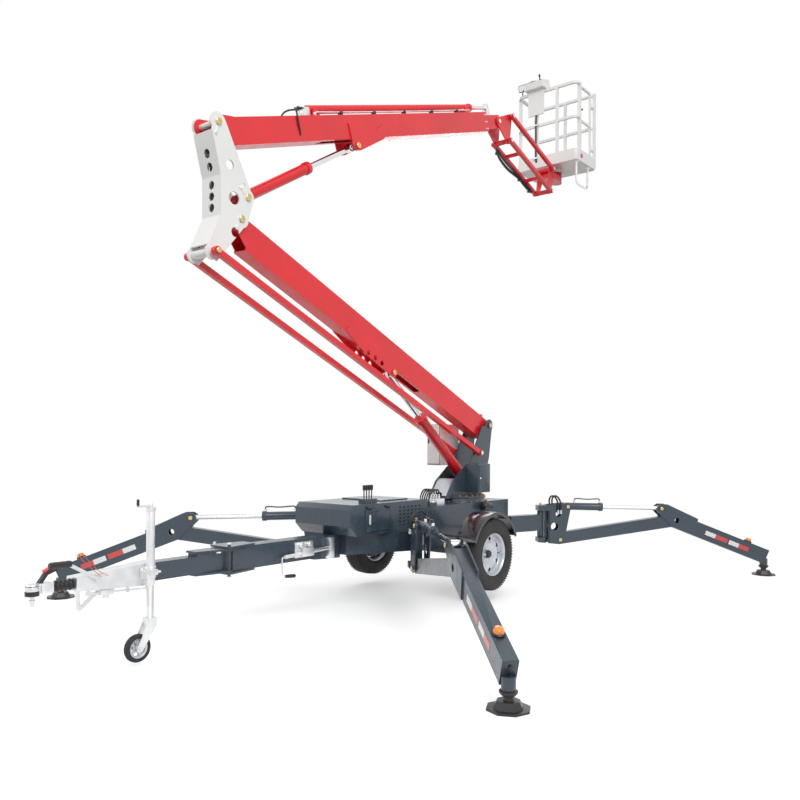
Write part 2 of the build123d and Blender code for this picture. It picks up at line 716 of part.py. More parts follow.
with BuildPart() as drawbar_nose:
    rear = HINGE_X + 34 + RUN_GAP
    block((rear, -TIP_WIDTH / 2, TIP_BOTTOM), (HOUSING_REAR, TIP_WIDTH / 2, TIP_TOP))
    for low in (BAR_BOTTOM + SEAT_GAP, BAR_TOP - HINGE_EAR - SEAT_GAP):
        with BuildSketch(Plane.XY.offset(low)) as ear:
            with Locations((rear + 130, 0)):
                Rectangle(260, TIP_WIDTH)
            with Locations((HINGE_X, HINGE_Y)):
                Circle(30)
            make_hull()
        extrude(ear.sketch, amount=HINGE_EAR)
    for low, high in ((BAR_BOTTOM + HINGE_EAR, TIP_BOTTOM), (TIP_TOP, BAR_TOP - HINGE_EAR)):
        if high > low:
            block((rear + 60, -TIP_WIDTH / 2, low), (rear + 240, TIP_WIDTH / 2, high))
    round_bar(
        Plane.XY.offset((BAR_BOTTOM + BAR_TOP) / 2), (HINGE_X, HINGE_Y),
        HINGE_PIN_RADIUS + PIN_GAP, 400, mode=Mode.SUBTRACT,
    )
export(drawbar_nose.part, "drawbar_nose")

with BuildPart() as coupling_housing:
    for x, deep in ((HOUSING_REAR, HOUSING_DEEP), (HOUSING_FRONT, HOUSING_SLIM)):
        with BuildSketch(Plane(origin=(x, 0, 0), x_dir=(0, 1, 0), z_dir=(1, 0, 0))) as section:
            with Locations((0, (deep[0] + deep[1]) / 2)):
                Rectangle(HOUSING_WIDTH, deep[1] - deep[0])
    loft()
    brace_x = HOUSING_FRONT - 40
    for start, end in (
        ((brace_x, 0, HOUSING_SLIM[0] + 10), (brace_x - 10, 0, 440)),
        ((brace_x - 10, 0, 440), (brace_x - 190, 0, HOUSING_SLIM[0] - 2)),
    ):
        square_between(start, end, 22)
    lever_y = HOUSING_WIDTH / 2 + 14
    foot = (HOUSING_FRONT - 150, lever_y, HEAD_Z + 20)
    knee = (HOUSING_FRONT + 70, lever_y, HEAD_Z + 150)
    rod_between(
        (foot[0], 0, foot[2]), (foot[0], lever_y + 12, foot[2]), 20
    )
    square_between(foot, knee, 22)
    rod_between((knee[0] - 14, lever_y, knee[2]), (knee[0] + 110, lever_y, knee[2]), 17)
export(coupling_housing.part, "coupling_housing")

with BuildPart() as drawbar_boot:
    front = HOUSING_FRONT + BOOT_LENGTH
    fold = BOOT_LENGTH / BOOT_FOLDS
    with BuildSketch(Plane.XZ) as profile:
        with BuildLine():
            rim = [(front, HEAD_Z + HEAD_SHAFT_RADIUS + SEAT_GAP)]
            for step in range(BOOT_FOLDS):
                x = front - step * fold
                rim.append((x, HEAD_Z + BOOT_RADIUS * 0.8))
                rim.append((x - fold / 2, HEAD_Z + BOOT_RADIUS))
            rim.append((HOUSING_FRONT, HEAD_Z + BOOT_RADIUS * 0.8))
            rim.append((HOUSING_FRONT, HEAD_Z + HEAD_SHAFT_RADIUS + SEAT_GAP))
            Polyline(*rim, close=True)
        make_face()
    revolve(axis=Axis((0, 0, HEAD_Z), (1, 0, 0)))
export(drawbar_boot.part, "drawbar_boot")

with BuildPart() as coupling_head:
    rod_between(
        (HOUSING_FRONT, 0, HEAD_Z), (BALL_X - HEAD_RADIUS, 0, HEAD_Z), HEAD_SHAFT_RADIUS
    )
    for x, high, wide in (
        (HOUSING_FRONT + BOOT_LENGTH + 4, 30, 64),
        (BALL_X - 40, 34, 76),
    ):
        with BuildSketch(Plane(origin=(x, 0, HEAD_Z), x_dir=(0, 1, 0), z_dir=(1, 0, 0))) as section:
            RectangleRounded(wide, 2 * high, 14)
    loft()
    round_bar(Plane.XY.offset(HEAD_Z - 8), (BALL_X, 0), HEAD_RADIUS, 64)
    with BuildSketch(Plane.XY.offset(HEAD_Z - 40)) as socket:
        with Locations((BALL_X, 0)):
            Circle(BALL_RADIUS)
    extrude(socket.sketch, amount=BALL_DEPTH, mode=Mode.SUBTRACT)
    grip = Plane.XZ
    slab(
        grip,
        (
            (BALL_X - 60, HEAD_Z + 30), (BALL_X - 30, HEAD_Z + 26),
            (BALL_X - 95, HEAD_Z + 108), (BALL_X - 170, HEAD_Z + 132), (BALL_X - 168, HEAD_Z + 108),
            (BALL_X - 100, HEAD_Z + 84),
        ),
        26,
    )
export(coupling_head.part, "coupling_head")

with BuildPart() as jack_tube:
    upright = Plane.XY.offset((JACK_TOP + JACK_TUBE_BOTTOM) / 2)
    round_bar(upright, (JACK_X, JACK_Y), JACK_TUBE_RADIUS, JACK_TOP - JACK_TUBE_BOTTOM)
    clamp_low = 600
    clamp_high = 690
    block(
        (JACK_X - 42, HOUSING_WIDTH / 2 + SEAT_GAP, clamp_low),
        (JACK_X + 42, JACK_Y, clamp_high),
    )
    with BuildSketch(Plane.XY.offset(JACK_TUBE_BOTTOM - 10)) as bore:
        with Locations((JACK_X, JACK_Y)):
            Circle(JACK_INNER_RADIUS + PIN_GAP)
    extrude(bore.sketch, amount=JACK_TOP - JACK_TUBE_BOTTOM - 20, mode=Mode.SUBTRACT)
    rod_between((JACK_X, JACK_Y, JACK_TOP), (JACK_X, JACK_Y, JACK_TOP + 24), 10)
    square_between(
        (JACK_X - 12, JACK_Y, JACK_TOP + 16), (JACK_X + 110, JACK_Y, JACK_TOP + 16), 14
    )
export(jack_tube.part, "jack_tube")

with BuildPart() as jack_leg:
    rod_between(
        (JACK_X, JACK_Y, JACK_INNER_BOTTOM), (JACK_X, JACK_Y, JACK_TUBE_BOTTOM + 140),
        JACK_INNER_RADIUS,
    )
    crown_top = JACK_INNER_BOTTOM
    cheek = NOSE_WHEEL_WIDTH / 2 + RUN_GAP + 3
    block(
        (JACK_X - 36, JACK_Y - cheek - 3, crown_top - 60),
        (JACK_X + 36, JACK_Y + cheek + 3, crown_top),
    )
    for side in (-1, 1):
        rounded_link(
            Plane.XZ.offset(-JACK_Y + side * cheek),
            (
                ((JACK_X, crown_top - 40), 36),
                ((JACK_X + FORK_TRAIL, NOSE_WHEEL_Z), 26),
            ),
            6,
        )
    round_bar(
        Plane.XZ.offset(-JACK_Y), (JACK_X + FORK_TRAIL, NOSE_WHEEL_Z), NOSE_AXLE_RADIUS, 2 * cheek + 16
    )
export(jack_leg.part, "jack_leg")

with BuildPart() as nose_wheel:
    hub_plane = Plane.XZ.offset(-JACK_Y)
    at = (JACK_X + FORK_TRAIL, NOSE_WHEEL_Z)
    round_bar(hub_plane, at, NOSE_WHEEL_RADIUS, NOSE_WHEEL_WIDTH)
    chamfer(nose_wheel.edges().filter_by(GeomType.CIRCLE), 12)
    for side in (-1, 1):
        with BuildSketch(hub_plane.offset(side * NOSE_WHEEL_WIDTH / 2)) as dish:
            with Locations(at):
                Circle(NOSE_WHEEL_RADIUS - 30)
                Circle(26, mode=Mode.SUBTRACT)
        extrude(dish.sketch, amount=-side * 14, mode=Mode.SUBTRACT)
    round_bar(hub_plane, at, NOSE_AXLE_RADIUS + PIN_GAP, 2 * NOSE_WHEEL_WIDTH, mode=Mode.SUBTRACT)
export(nose_wheel.part, "nose_wheel")


# Turret with its valve box and electric cabinet

plate_y = (TURRET_WIDTH - TURRET_PLATE) / 2
turret_top = TURRET_BASE + TURRET_FLOOR
TURRET_OUTLINE = (
    (AXLE_X - 215, turret_top), (AXLE_X - 330, 1170), (AXLE_X - 560, 1330),
    (AXLE_X - 690, 1370), (AXLE_X - 775, 1560), (AXLE_X - 930, 1790),
    (BOOM_FOOT[0] - 62, BOOM_FOOT[1] + 10), (AXLE_X - 1075, 1420), (AXLE_X - 911, turret_top),
)

with BuildPart() as turret:
    with BuildSketch(Plane.XY.offset(TURRET_BASE)) as floor:
        with Locations((SLEW_X, 0)):
            Circle(RING_RADIUS + 8)
    extrude(floor.sketch, amount=TURRET_FLOOR)
    block(
        (AXLE_X - 911, -TURRET_WIDTH / 2, TURRET_BASE), (AXLE_X - 215, TURRET_WIDTH / 2, turret_top)
    )
    for side in (-1, 1):
        cheek = Plane.XZ.offset(side * plate_y)
        slab(cheek, TURRET_OUTLINE, TURRET_PLATE)
        rounded_link(
            cheek,
            ((BOOM_FOOT, 70), ((AXLE_X - 1000, 1640), 80)),
            TURRET_PLATE,
        )
    block(
        (AXLE_X - 930, -plate_y, turret_top), (AXLE_X - 915, plate_y, 1180),
    )
    round_bar(Plane.XZ, BOOM_FOOT, BOOM_PIN_RADIUS, TURRET_WIDTH + 30)
    round_bar(Plane.XZ, LIFT_FOOT, BOOM_PIN_RADIUS, TURRET_WIDTH)
    for side in (-1, 1):
        stub = Plane.XZ.offset(side * (TURRET_WIDTH / 2 + ROD_SPREAD / 2 + ROD_TUBE / 2 + 12) / 2)
        stub_length = ROD_SPREAD / 2 + ROD_TUBE / 2 + 12 - TURRET_WIDTH / 2
        round_bar(stub, ROD_FOOT, ROD_PIN_RADIUS, stub_length)
export(turret.part, "turret")

with BuildPart() as valve_box:
    block(
        (AXLE_X - 831, TURRET_WIDTH / 2, 1040), (AXLE_X - 585, TURRET_WIDTH / 2 + 170, 1362)
    )
    top_edges = valve_box.edges().group_by(Axis.Z)[-1]
    chamfer(top_edges, 8)
export(valve_box.part, "valve_box")

with BuildPart() as electric_cabinet:
    inner_y = -(ROD_SPREAD / 2 + ROD_TUBE / 2 + 25)
    block((AXLE_X - 950, inner_y - 190, 1335), (AXLE_X - 570, inner_y, 1810))
    fillet(electric_cabinet.edges().filter_by(Axis.Z), 12)
    block((AXLE_X - 880, inner_y, 1345), (AXLE_X - 760, -TURRET_WIDTH / 2, 1425))
export(electric_cabinet.part, "electric_cabinet")


# Lower boom, its lift ram and the levelling rods

def box_tube(plane, start, end, rise, drop, width, wall):
    """A square tube along a boom's plane, open at both ends."""
    slab(plane, ((start, -drop), (end, -drop), (end, rise), (start, rise)), width)
    inside = (
        (start - wall, wall - drop), (end + wall, wall - drop),
        (end + wall, rise - wall), (start - wall, rise - wall),
    )
    slab(plane, inside, width - 2 * wall, mode=Mode.SUBTRACT)


with BuildPart() as lower_boom:
    box_tube(
        lower_plane, BOOM_ROOT, BOOM_HEAD, BOOM_RISE, BOOM_DROP, BOOM_WIDTH, BOOM_WALL
    )
    cheek_y = (BOOM_WIDTH - BOOM_WALL) / 2
    lift_plate = (
        (LIFT_EYE[0] - 60, -BOOM_DROP + 90), (LIFT_EYE[0] - 62, LIFT_EYE[1] + 10),
        (LIFT_EYE[0] - 30, LIFT_EYE[1] - 48), (LIFT_EYE[0] + 30, LIFT_EYE[1] - 48),
        (LIFT_EYE[0] + 420, -BOOM_DROP - 70), (LIFT_EYE[0] + 800, -BOOM_DROP),
        (LIFT_EYE[0] + 760, -BOOM_DROP + 60), (LIFT_EYE[0] + 120, -BOOM_DROP + 90),
    )
    for side in (-1, 1):
        wall_plane = lower_plane.offset(side * cheek_y)
        rounded_link(
            wall_plane,
            (((0, 0), 58), ((BOOM_ROOT + 160, BOOM_RISE - 40), 40), ((BOOM_ROOT + 160, -100), 60)),
            BOOM_WALL,
        )
        rounded_link(
            wall_plane,
            (
                ((BOOM_LENGTH, 0), 56), ((BOOM_HEAD - 60, BOOM_RISE - 50), 50),
                ((BOOM_HEAD - 60, -BOOM_DROP + 60), 60),
            ),
            BOOM_WALL,
        )
        outer = lower_plane.offset(side * (BOOM_WIDTH / 2 + 6))
        slab(outer, lift_plate, 12)
        round_bar(
            lower_plane.offset(side * (BOOM_WIDTH / 2 + 16)), LIFT_EYE, BOOM_PIN_RADIUS + 4, 12
        )
        for along in (LIFT_EYE[0] + 200, LIFT_EYE[0] + 310, LIFT_EYE[0] + 420):
            round_bar(outer, (along, -BOOM_DROP - 36), 26, 30, mode=Mode.SUBTRACT)
    slot_outline = (
        (BOOM_SLOT[0], -BOOM_DROP - 10), (BOOM_SLOT[1], -BOOM_DROP - 10),
        (BOOM_SLOT[1], -BOOM_DROP + 30), (BOOM_SLOT[0], -BOOM_DROP + 30),
    )
    slab(lower_plane, slot_outline, SLOT_WIDTH, mode=Mode.SUBTRACT)
    for along in (0, BOOM_LENGTH):
        round_bar(
            lower_plane, (along, 0), BOOM_PIN_RADIUS + PIN_GAP, 2 * BOOM_WIDTH, mode=Mode.SUBTRACT
        )
export(lower_boom.part, "lower_boom")

RAM_WAY = (0, 1, 0)
LIFT_BARREL = 1074.0
LIFT_BARREL_RADIUS = 58.0
LIFT_ROD_RADIUS = 32.0
LIFT_ROD_TAIL = 500.0
RAM_EYE_RADIUS = 40.0
RAM_EYE_WIDTH = 62.0

lift_foot = (LIFT_FOOT[0], 0, LIFT_FOOT[1])
lift_eye = tuple(side_point(lower_plane, *LIFT_EYE))
lift_barrel = ram_barrel(
    lift_foot, lift_eye, RAM_WAY, LIFT_BARREL, LIFT_BARREL_RADIUS, LIFT_ROD_RADIUS,
    1.7 * LIFT_BARREL_RADIUS, BOOM_PIN_RADIUS,
)
export(lift_barrel, "lift_ram_barrel")
lift_rod = ram_rod(
    lift_foot, lift_eye, RAM_WAY, LIFT_ROD_TAIL, LIFT_ROD_RADIUS, RAM_EYE_RADIUS,
    RAM_EYE_WIDTH, BOOM_PIN_RADIUS,
)
export(lift_rod, "lift_ram_rod")

with BuildPart() as levelling_rods:
    for side in (-1, 1):
        y = side * ROD_SPREAD / 2
        square_between((ROD_FOOT[0], y, ROD_FOOT[1]), (ROD_HEAD[0], y, ROD_HEAD[1]), ROD_TUBE)
        for at in (ROD_FOOT, ROD_HEAD):
            eye_plane = Plane.XZ.offset(-y)
            round_bar(eye_plane, at, ROD_EYE_RADIUS, ROD_TUBE)
            round_bar(eye_plane, at, ROD_PIN_RADIUS + PIN_GAP, 3 * ROD_TUBE, mode=Mode.SUBTRACT)
export(levelling_rods.part, "levelling_rods")


# Knuckle: two cheeks and a folded back

def from_head(dx, dz):
    return (HEAD_PIN[0] + dx, HEAD_PIN[1] + dz)


BACK_LINE = ((297, 639), (209, 311), (206, -11), (323, -264))
with BuildPart() as knuckle:
    cheek_y = (KNUCKLE_WIDTH - KNUCKLE_PLATE) / 2
    outline = [from_head(*point) for point in BACK_LINE]
    outline += [
        from_head(330, -330), from_head(240, -385), from_head(-20, -75), from_head(-70, -10),
        from_head(-130, 190), from_head(-100, 240), from_head(165, 735), from_head(260, 785),
    ]
    for side in (-1, 1):
        cheek = Plane.XZ.offset(side * cheek_y)
        with BuildSketch(cheek) as face:
            Polygon(*outline, align=None)
            for at, radius in (
                (UPPER_PIVOT, 76), (HEAD_PIN, 74), (ROD_HEAD, 62), (UPPER_RAM_FOOT, 64)
            ):
                with Locations(at):
                    Circle(radius)
            for dx, dz, radius in ((120, 405, 38), (75, 150, 52), (60, -120, 40), (-20, 280, 14)):
                with Locations(from_head(dx, dz)):
                    Circle(radius, mode=Mode.SUBTRACT)
        extrude(face.sketch, amount=KNUCKLE_PLATE / 2, both=True)
    with BuildSketch(Plane.XZ) as back:
        with BuildLine():
            Polyline(*[from_head(dx - 6, dz) for dx, dz in BACK_LINE])
        trace(line_width=KNUCKLE_PLATE)
    extrude(back.sketch, amount=KNUCKLE_WIDTH / 2 - KNUCKLE_PLATE, both=True)
    for dz in (480, 380, 240, 150, 60):
        hole_plane = Plane(
            origin=(HEAD_PIN[0] + 260, 0, HEAD_PIN[1] + dz), x_dir=(0, 1, 0), z_dir=(1, 0, 0)
        )
        round_bar(hole_plane, (0, 0), 34, 240, mode=Mode.SUBTRACT)
    for at, radius in (
        (UPPER_PIVOT, BOOM_PIN_RADIUS), (HEAD_PIN, BOOM_PIN_RADIUS), (UPPER_RAM_FOOT, BOOM_PIN_RADIUS)
    ):
        round_bar(Plane.XZ, at, radius, KNUCKLE_WIDTH + 24)
    round_bar(Plane.XZ, ROD_HEAD, ROD_PIN_RADIUS, ROD_SPREAD + ROD_TUBE + 24)
    round_bar(Plane.XZ, ROD_HEAD, ROD_EYE_RADIUS, KNUCKLE_WIDTH)
export(knuckle.part, "knuckle")


# Upper boom with its ram, the telescopic section and the reach cylinder

with BuildPart() as upper_boom:
    wall = BOOM_WALL
    box_tube(
        upper_plane, UPPER_ROOT, UPPER_LENGTH, UPPER_RISE, UPPER_DROP, UPPER_WIDTH, wall
    )
    for side in (-1, 1):
        wall_plane = upper_plane.offset(side * (UPPER_WIDTH - wall) / 2)
        rounded_link(
            wall_plane, (((0, 0), 66), ((UPPER_ROOT + 150, 0), 34), ((UPPER_ROOT + 150, -110), 66)), wall
        )
        outer = upper_plane.offset(side * (UPPER_WIDTH / 2 + 6))
        ram_plate = (
            (UPPER_EYE[0] - 70, -40), (UPPER_EYE[0] - 66, UPPER_EYE[1] + 6),
            (UPPER_EYE[0] - 34, UPPER_EYE[1] - 46), (UPPER_EYE[0] + 40, UPPER_EYE[1] - 44),
            (UPPER_EYE[0] + 420, -UPPER_DROP - 20), (UPPER_EYE[0] + 560, -120),
            (UPPER_EYE[0] + 540, -66), (UPPER_EYE[0] + 440, -60), (UPPER_EYE[0] + 330, -110),
            (UPPER_EYE[0] + 180, -110), (UPPER_EYE[0] + 80, -44),
        )
        slab(outer, ram_plate, 12)
        round_bar(
            upper_plane.offset(side * (UPPER_WIDTH / 2 + 16)), UPPER_EYE, BOOM_PIN_RADIUS + 4, 12
        )
    slot_outline = (
        (UPPER_SLOT[0], -UPPER_DROP - 10), (UPPER_SLOT[1], -UPPER_DROP - 10),
        (UPPER_SLOT[1], -UPPER_DROP + 30), (UPPER_SLOT[0], -UPPER_DROP + 30),
    )
    slab(upper_plane, slot_outline, SLOT_WIDTH + 12, mode=Mode.SUBTRACT)
    mouth = upper_plane
    pad_start = UPPER_LENGTH - WEAR_PAD
    collar = (
        (pad_start, wall - UPPER_DROP), (UPPER_LENGTH, wall - UPPER_DROP),
        (UPPER_LENGTH, UPPER_RISE - wall), (pad_start, UPPER_RISE - wall),
    )
    slab(mouth, collar, UPPER_WIDTH - 2 * wall)
    low = upper_middle - INNER_DEPTH / 2 - SEAT_GAP
    high = upper_middle + INNER_DEPTH / 2 + SEAT_GAP
    passage = (
        (pad_start - 1, low), (UPPER_LENGTH + 1, low), (UPPER_LENGTH + 1, high), (pad_start - 1, high)
    )
    slab(mouth, passage, INNER_WIDTH + 2 * SEAT_GAP, mode=Mode.SUBTRACT)
    for along in (REACH_FOOT, REACH_BARREL_END - 140):
        saddle = (
            (along - 50, UPPER_RISE), (along + 50, UPPER_RISE),
            (along + 30, REACH_AXIS_RISE), (along - 30, REACH_AXIS_RISE),
        )
        slab(upper_plane, saddle, 110)
    reach_line = axis_plane(
        tuple(side_point(upper_plane, REACH_FOOT - 60, REACH_AXIS_RISE)),
        tuple(side_point(upper_plane, REACH_BARREL_END, REACH_AXIS_RISE)),
    )
    with BuildSketch(reach_line) as seat:
        Circle(REACH_RADIUS + SEAT_GAP)
    extrude(seat.sketch, amount=REACH_BARREL_END - REACH_FOOT + 120, mode=Mode.SUBTRACT)
    round_bar(
        upper_plane, (0, 0), BOOM_PIN_RADIUS + PIN_GAP, 2 * UPPER_WIDTH, mode=Mode.SUBTRACT
    )
export(upper_boom.part, "upper_boom")

with BuildPart() as reach_cylinder:
    with BuildSketch(reach_line) as tube:
        Circle(REACH_RADIUS)
    extrude(tube.sketch, amount=REACH_BARREL_END - REACH_FOOT + 60)
    with BuildSketch(reach_line.offset(REACH_BARREL_END - REACH_FOOT + 20)) as gland:
        Circle(REACH_RADIUS + 8)
    extrude(gland.sketch, amount=40)
    with BuildSketch(reach_line.offset(60)) as bore:
        Circle(REACH_ROD_RADIUS + PIN_GAP)
    extrude(bore.sketch, amount=REACH_BARREL_END - REACH_FOOT + 60, mode=Mode.SUBTRACT)
export(reach_cylinder.part, "reach_cylinder")

with BuildPart() as reach_rod:
    rod_between(
        tuple(side_point(upper_plane, REACH_ROD_TAIL, REACH_AXIS_RISE)),
        tuple(side_point(upper_plane, REACH_EYE, REACH_AXIS_RISE)), REACH_ROD_RADIUS,
    )
    lug_foot = upper_middle + INNER_DEPTH / 2
    slab(
        upper_plane,
        (
            (REACH_EYE - 40, lug_foot), (REACH_EYE + 60, lug_foot),
            (REACH_EYE + 40, REACH_AXIS_RISE + 40), (REACH_EYE, REACH_AXIS_RISE + 40),
        ),
        60,
    )
export(reach_rod.part, "reach_rod")

with BuildPart() as telescopic_boom:
    half = INNER_DEPTH / 2
    box_tube(
        upper_plane, INNER_TAIL, INNER_HEAD, upper_middle + half, half - upper_middle,
        INNER_WIDTH, INNER_WALL,
    )
    shoe_width = UPPER_WIDTH - 2 * BOOM_WALL - 2 * SEAT_GAP
    shoe_low = BOOM_WALL - UPPER_DROP + SEAT_GAP
    shoe_high = UPPER_RISE - BOOM_WALL - SEAT_GAP
    shoe = (
        (INNER_TAIL, shoe_low), (INNER_TAIL + WEAR_PAD, shoe_low),
        (INNER_TAIL + WEAR_PAD, shoe_high), (INNER_TAIL, shoe_high),
    )
    slab(upper_plane, shoe, shoe_width)
    inside = (
        (INNER_TAIL - 1, upper_middle - half + INNER_WALL),
        (INNER_TAIL + WEAR_PAD + 1, upper_middle - half + INNER_WALL),
        (INNER_TAIL + WEAR_PAD + 1, upper_middle + half - INNER_WALL),
        (INNER_TAIL - 1, upper_middle + half - INNER_WALL),
    )
    slab(upper_plane, inside, INNER_WIDTH - 2 * INNER_WALL, mode=Mode.SUBTRACT)
    round_bar(
        upper_plane, (LEVEL_PIN_T, upper_middle), LEVEL_PIN_RADIUS + PIN_GAP, 2 * UPPER_WIDTH,
        mode=Mode.SUBTRACT,
    )
export(telescopic_boom.part, "telescopic_boom")

UPPER_BARREL = 930.0
UPPER_BARREL_RADIUS = 48.0
UPPER_ROD_RADIUS = 27.0
UPPER_ROD_TAIL = 400.0
upper_foot = (UPPER_RAM_FOOT[0], 0, UPPER_RAM_FOOT[1])
upper_eye = tuple(side_point(upper_plane, *UPPER_EYE))
upper_barrel = ram_barrel(
    upper_foot, upper_eye, RAM_WAY, UPPER_BARREL, UPPER_BARREL_RADIUS, UPPER_ROD_RADIUS,
    1.7 * UPPER_BARREL_RADIUS, BOOM_PIN_RADIUS,
)
export(upper_barrel, "upper_ram_barrel")
upper_rod = ram_rod(
    upper_foot, upper_eye, RAM_WAY, UPPER_ROD_TAIL, UPPER_ROD_RADIUS, RAM_EYE_RADIUS - 2,
    RAM_EYE_WIDTH, BOOM_PIN_RADIUS,
)
export(upper_rod, "upper_ram_rod")


# Jib: level head, frame, link and platform support

level_point = side_point(upper_plane, LEVEL_PIN_T, upper_middle)
LEVEL_PIN = (level_point.X, level_point.Z)
head_cheek = INNER_WIDTH / 2 + RUN_GAP + JIB_PLATE / 2

with BuildPart() as jib_head:
    for side in (-1, 1):
        rounded_link(
            Plane.XZ.offset(side * head_cheek),
            ((LEVEL_PIN, 50), (JIB_HEAD_LOW, 38), (JIB_HEAD_HIGH, 34)),
            JIB_PLATE,
        )
    round_bar(Plane.XZ, LEVEL_PIN, LEVEL_PIN_RADIUS, 2 * head_cheek + JIB_PLATE + 20)
    jib_pin = JIB_SPREAD + JIB_TUBE + 14
    for at in (JIB_HEAD_LOW, JIB_HEAD_HIGH):
        round_bar(Plane.XZ, at, JIB_PIN_RADIUS, jib_pin)
        round_bar(Plane.XZ, at, JIB_EYE_RADIUS, 2 * head_cheek)
export(jib_head.part, "jib_head")

with BuildPart() as jib_frame:
    for side in (-1, 1):
        y = side * JIB_SPREAD / 2
        square_between(
            (JIB_HEAD_LOW[0], y, JIB_HEAD_LOW[1]), (JIB_END_LOW[0], y, JIB_END_LOW[1]), JIB_TUBE
        )
        for at in (JIB_HEAD_LOW, JIB_END_LOW):
            round_bar(Plane.XZ.offset(-y), at, JIB_EYE_RADIUS, JIB_TUBE)
    for share in (0.24, 0.72):
        x = JIB_HEAD_LOW[0] + share * JIB_REACH[0]
        z = JIB_HEAD_LOW[1] + share * JIB_REACH[1]
        square_between((x, -JIB_SPREAD / 2, z), (x, JIB_SPREAD / 2, z), JIB_TUBE - 8)
    for at in (JIB_HEAD_LOW, JIB_END_LOW):
        round_bar(
            Plane.XZ, at, JIB_PIN_RADIUS + PIN_GAP, 2 * JIB_SPREAD, mode=Mode.SUBTRACT
        )
export(jib_frame.part, "jib_frame")

with BuildPart() as jib_link:
    y = JIB_SPREAD / 2
    square_between(
        (JIB_HEAD_HIGH[0], y, JIB_HEAD_HIGH[1]), (JIB_END_HIGH[0], y, JIB_END_HIGH[1]), JIB_TUBE
    )
    for at in (JIB_HEAD_HIGH, JIB_END_HIGH):
        round_bar(Plane.XZ.offset(-y), at, JIB_EYE_RADIUS, JIB_TUBE)
        round_bar(
            Plane.XZ.offset(-y), at, JIB_PIN_RADIUS + PIN_GAP, 3 * JIB_TUBE, mode=Mode.SUBTRACT
        )
export(jib_link.part, "jib_link")

with BuildPart() as platform_support:
    for side in (-1, 1):
        rounded_link(
            Plane.XZ.offset(side * head_cheek),
            ((JIB_END_LOW, 34), (JIB_END_HIGH, 32), ((JIB_END_HIGH[0] - 60, JIB_END_HIGH[1] - 60), 50)),
            JIB_PLATE,
        )
    for at in (JIB_END_LOW, JIB_END_HIGH):
        round_bar(Plane.XZ, at, JIB_PIN_RADIUS, JIB_SPREAD + JIB_TUBE + 14)
        round_bar(Plane.XZ, at, JIB_EYE_RADIUS, 2 * head_cheek)
    beam_top = TURN_TOP - 60
    block(
        (TURN_X, -head_cheek, beam_top - 80), (JIB_END_HIGH[0] - 30, head_cheek, beam_top)
    )
    round_bar(
        Plane.XY.offset(TURN_TOP - SEAT_GAP - 70), (TURN_X, 0), TURN_RADIUS, 140
    )
export(platform_support.part, "platform_support")


# Work platform: tubular cage with a floor, toe boards, gate and console

cage_x = TURN_X
cage_front = cage_x + CAGE_DEPTH / 2
cage_rear = cage_x - CAGE_DEPTH / 2
cage_left = CAGE_WIDTH / 2
rail_z = (CAGE_TOP - CAGE_TUBE, CAGE_FLOOR + 560.0)
gate_front = cage_front - CAGE_CORNER
GATE_PIN = (cage_rear + CAGE_TUBE + 26, cage_left - CAGE_TUBE - 14)


def cage_rail(z):
    """Three-sided rail, open on the gate side."""
    half = CAGE_TUBE / 2
    with BuildSketch(Plane.XY.offset(z)) as ring:
        with BuildLine():
            FilletPolyline(
                (cage_rear + half, cage_left), (cage_rear + half, -cage_left + half),
                (cage_front - half, -cage_left + half), (cage_front - half, cage_left - half),
                (gate_front, cage_left - half), radius=CAGE_CORNER - CAGE_TUBE,
            )
        trace(line_width=CAGE_TUBE)
    extrude(ring.sketch, amount=CAGE_TUBE)


with BuildPart() as platform_cage:
    with BuildSketch(Plane.XY.offset(CAGE_FLOOR)) as floor:
        with Locations((cage_x, 0)):
            RectangleRounded(CAGE_DEPTH, CAGE_WIDTH, CAGE_CORNER / 2)
    extrude(floor.sketch, amount=TOE_HEIGHT)
    with BuildSketch(Plane.XY.offset(CAGE_FLOOR + FLOOR_SHEET)) as well:
        with Locations((cage_x, 0)):
            RectangleRounded(CAGE_DEPTH - 10, CAGE_WIDTH - 10, CAGE_CORNER / 2 - 5)
    extrude(well.sketch, amount=TOE_HEIGHT, mode=Mode.SUBTRACT)
    for z in rail_z:
        cage_rail(z)
    half = CAGE_TUBE / 2
    for x, y in (
        (cage_rear + half, cage_left - half), (cage_rear + half, 0), (cage_front - half, -cage_left / 3),
        (cage_front - half, cage_left / 3), (gate_front - half, cage_left - half),
        (cage_rear + 2 * CAGE_TUBE, -cage_left + half), (cage_front - 2 * CAGE_TUBE, -cage_left + half),
    ):
        square_between((x, y, CAGE_FLOOR + FLOOR_SHEET), (x, y, CAGE_TOP), CAGE_TUBE)
    for z in (CAGE_FLOOR + 300, CAGE_TOP - 160):
        block(
            (cage_rear, GATE_PIN[1] - 12, z - 46), (GATE_PIN[0] + 12, cage_left - half, z - 34)
        )
        round_bar(Plane.XY.offset(z - 10), GATE_PIN, GATE_PIN_RADIUS, 50)
    with BuildSketch(Plane.XY.offset(TURN_TOP)) as boss:
        with Locations((TURN_X, 0)):
            Circle(TURN_RADIUS + 20)
    extrude(boss.sketch, amount=CAGE_FLOOR - TURN_TOP)
    face_x = cage_front - 2
    block(
        (face_x, CONSOLE_Y - 115, CAGE_TOP - 330), (face_x + 24, CONSOLE_Y + 115, CAGE_TOP + 10)
    )
    slab(
        Plane.XZ.offset(-CONSOLE_Y),
        (
            (face_x, CAGE_TOP + 10), (face_x + 90, CAGE_TOP + 10), (face_x + 110, CAGE_TOP + 90),
            (face_x - 90, CAGE_TOP + 150), (face_x - 110, CAGE_TOP + 60), (face_x - 40, CAGE_TOP + 10),
        ),
        290,
    )
export(platform_cage.part, "platform_cage")

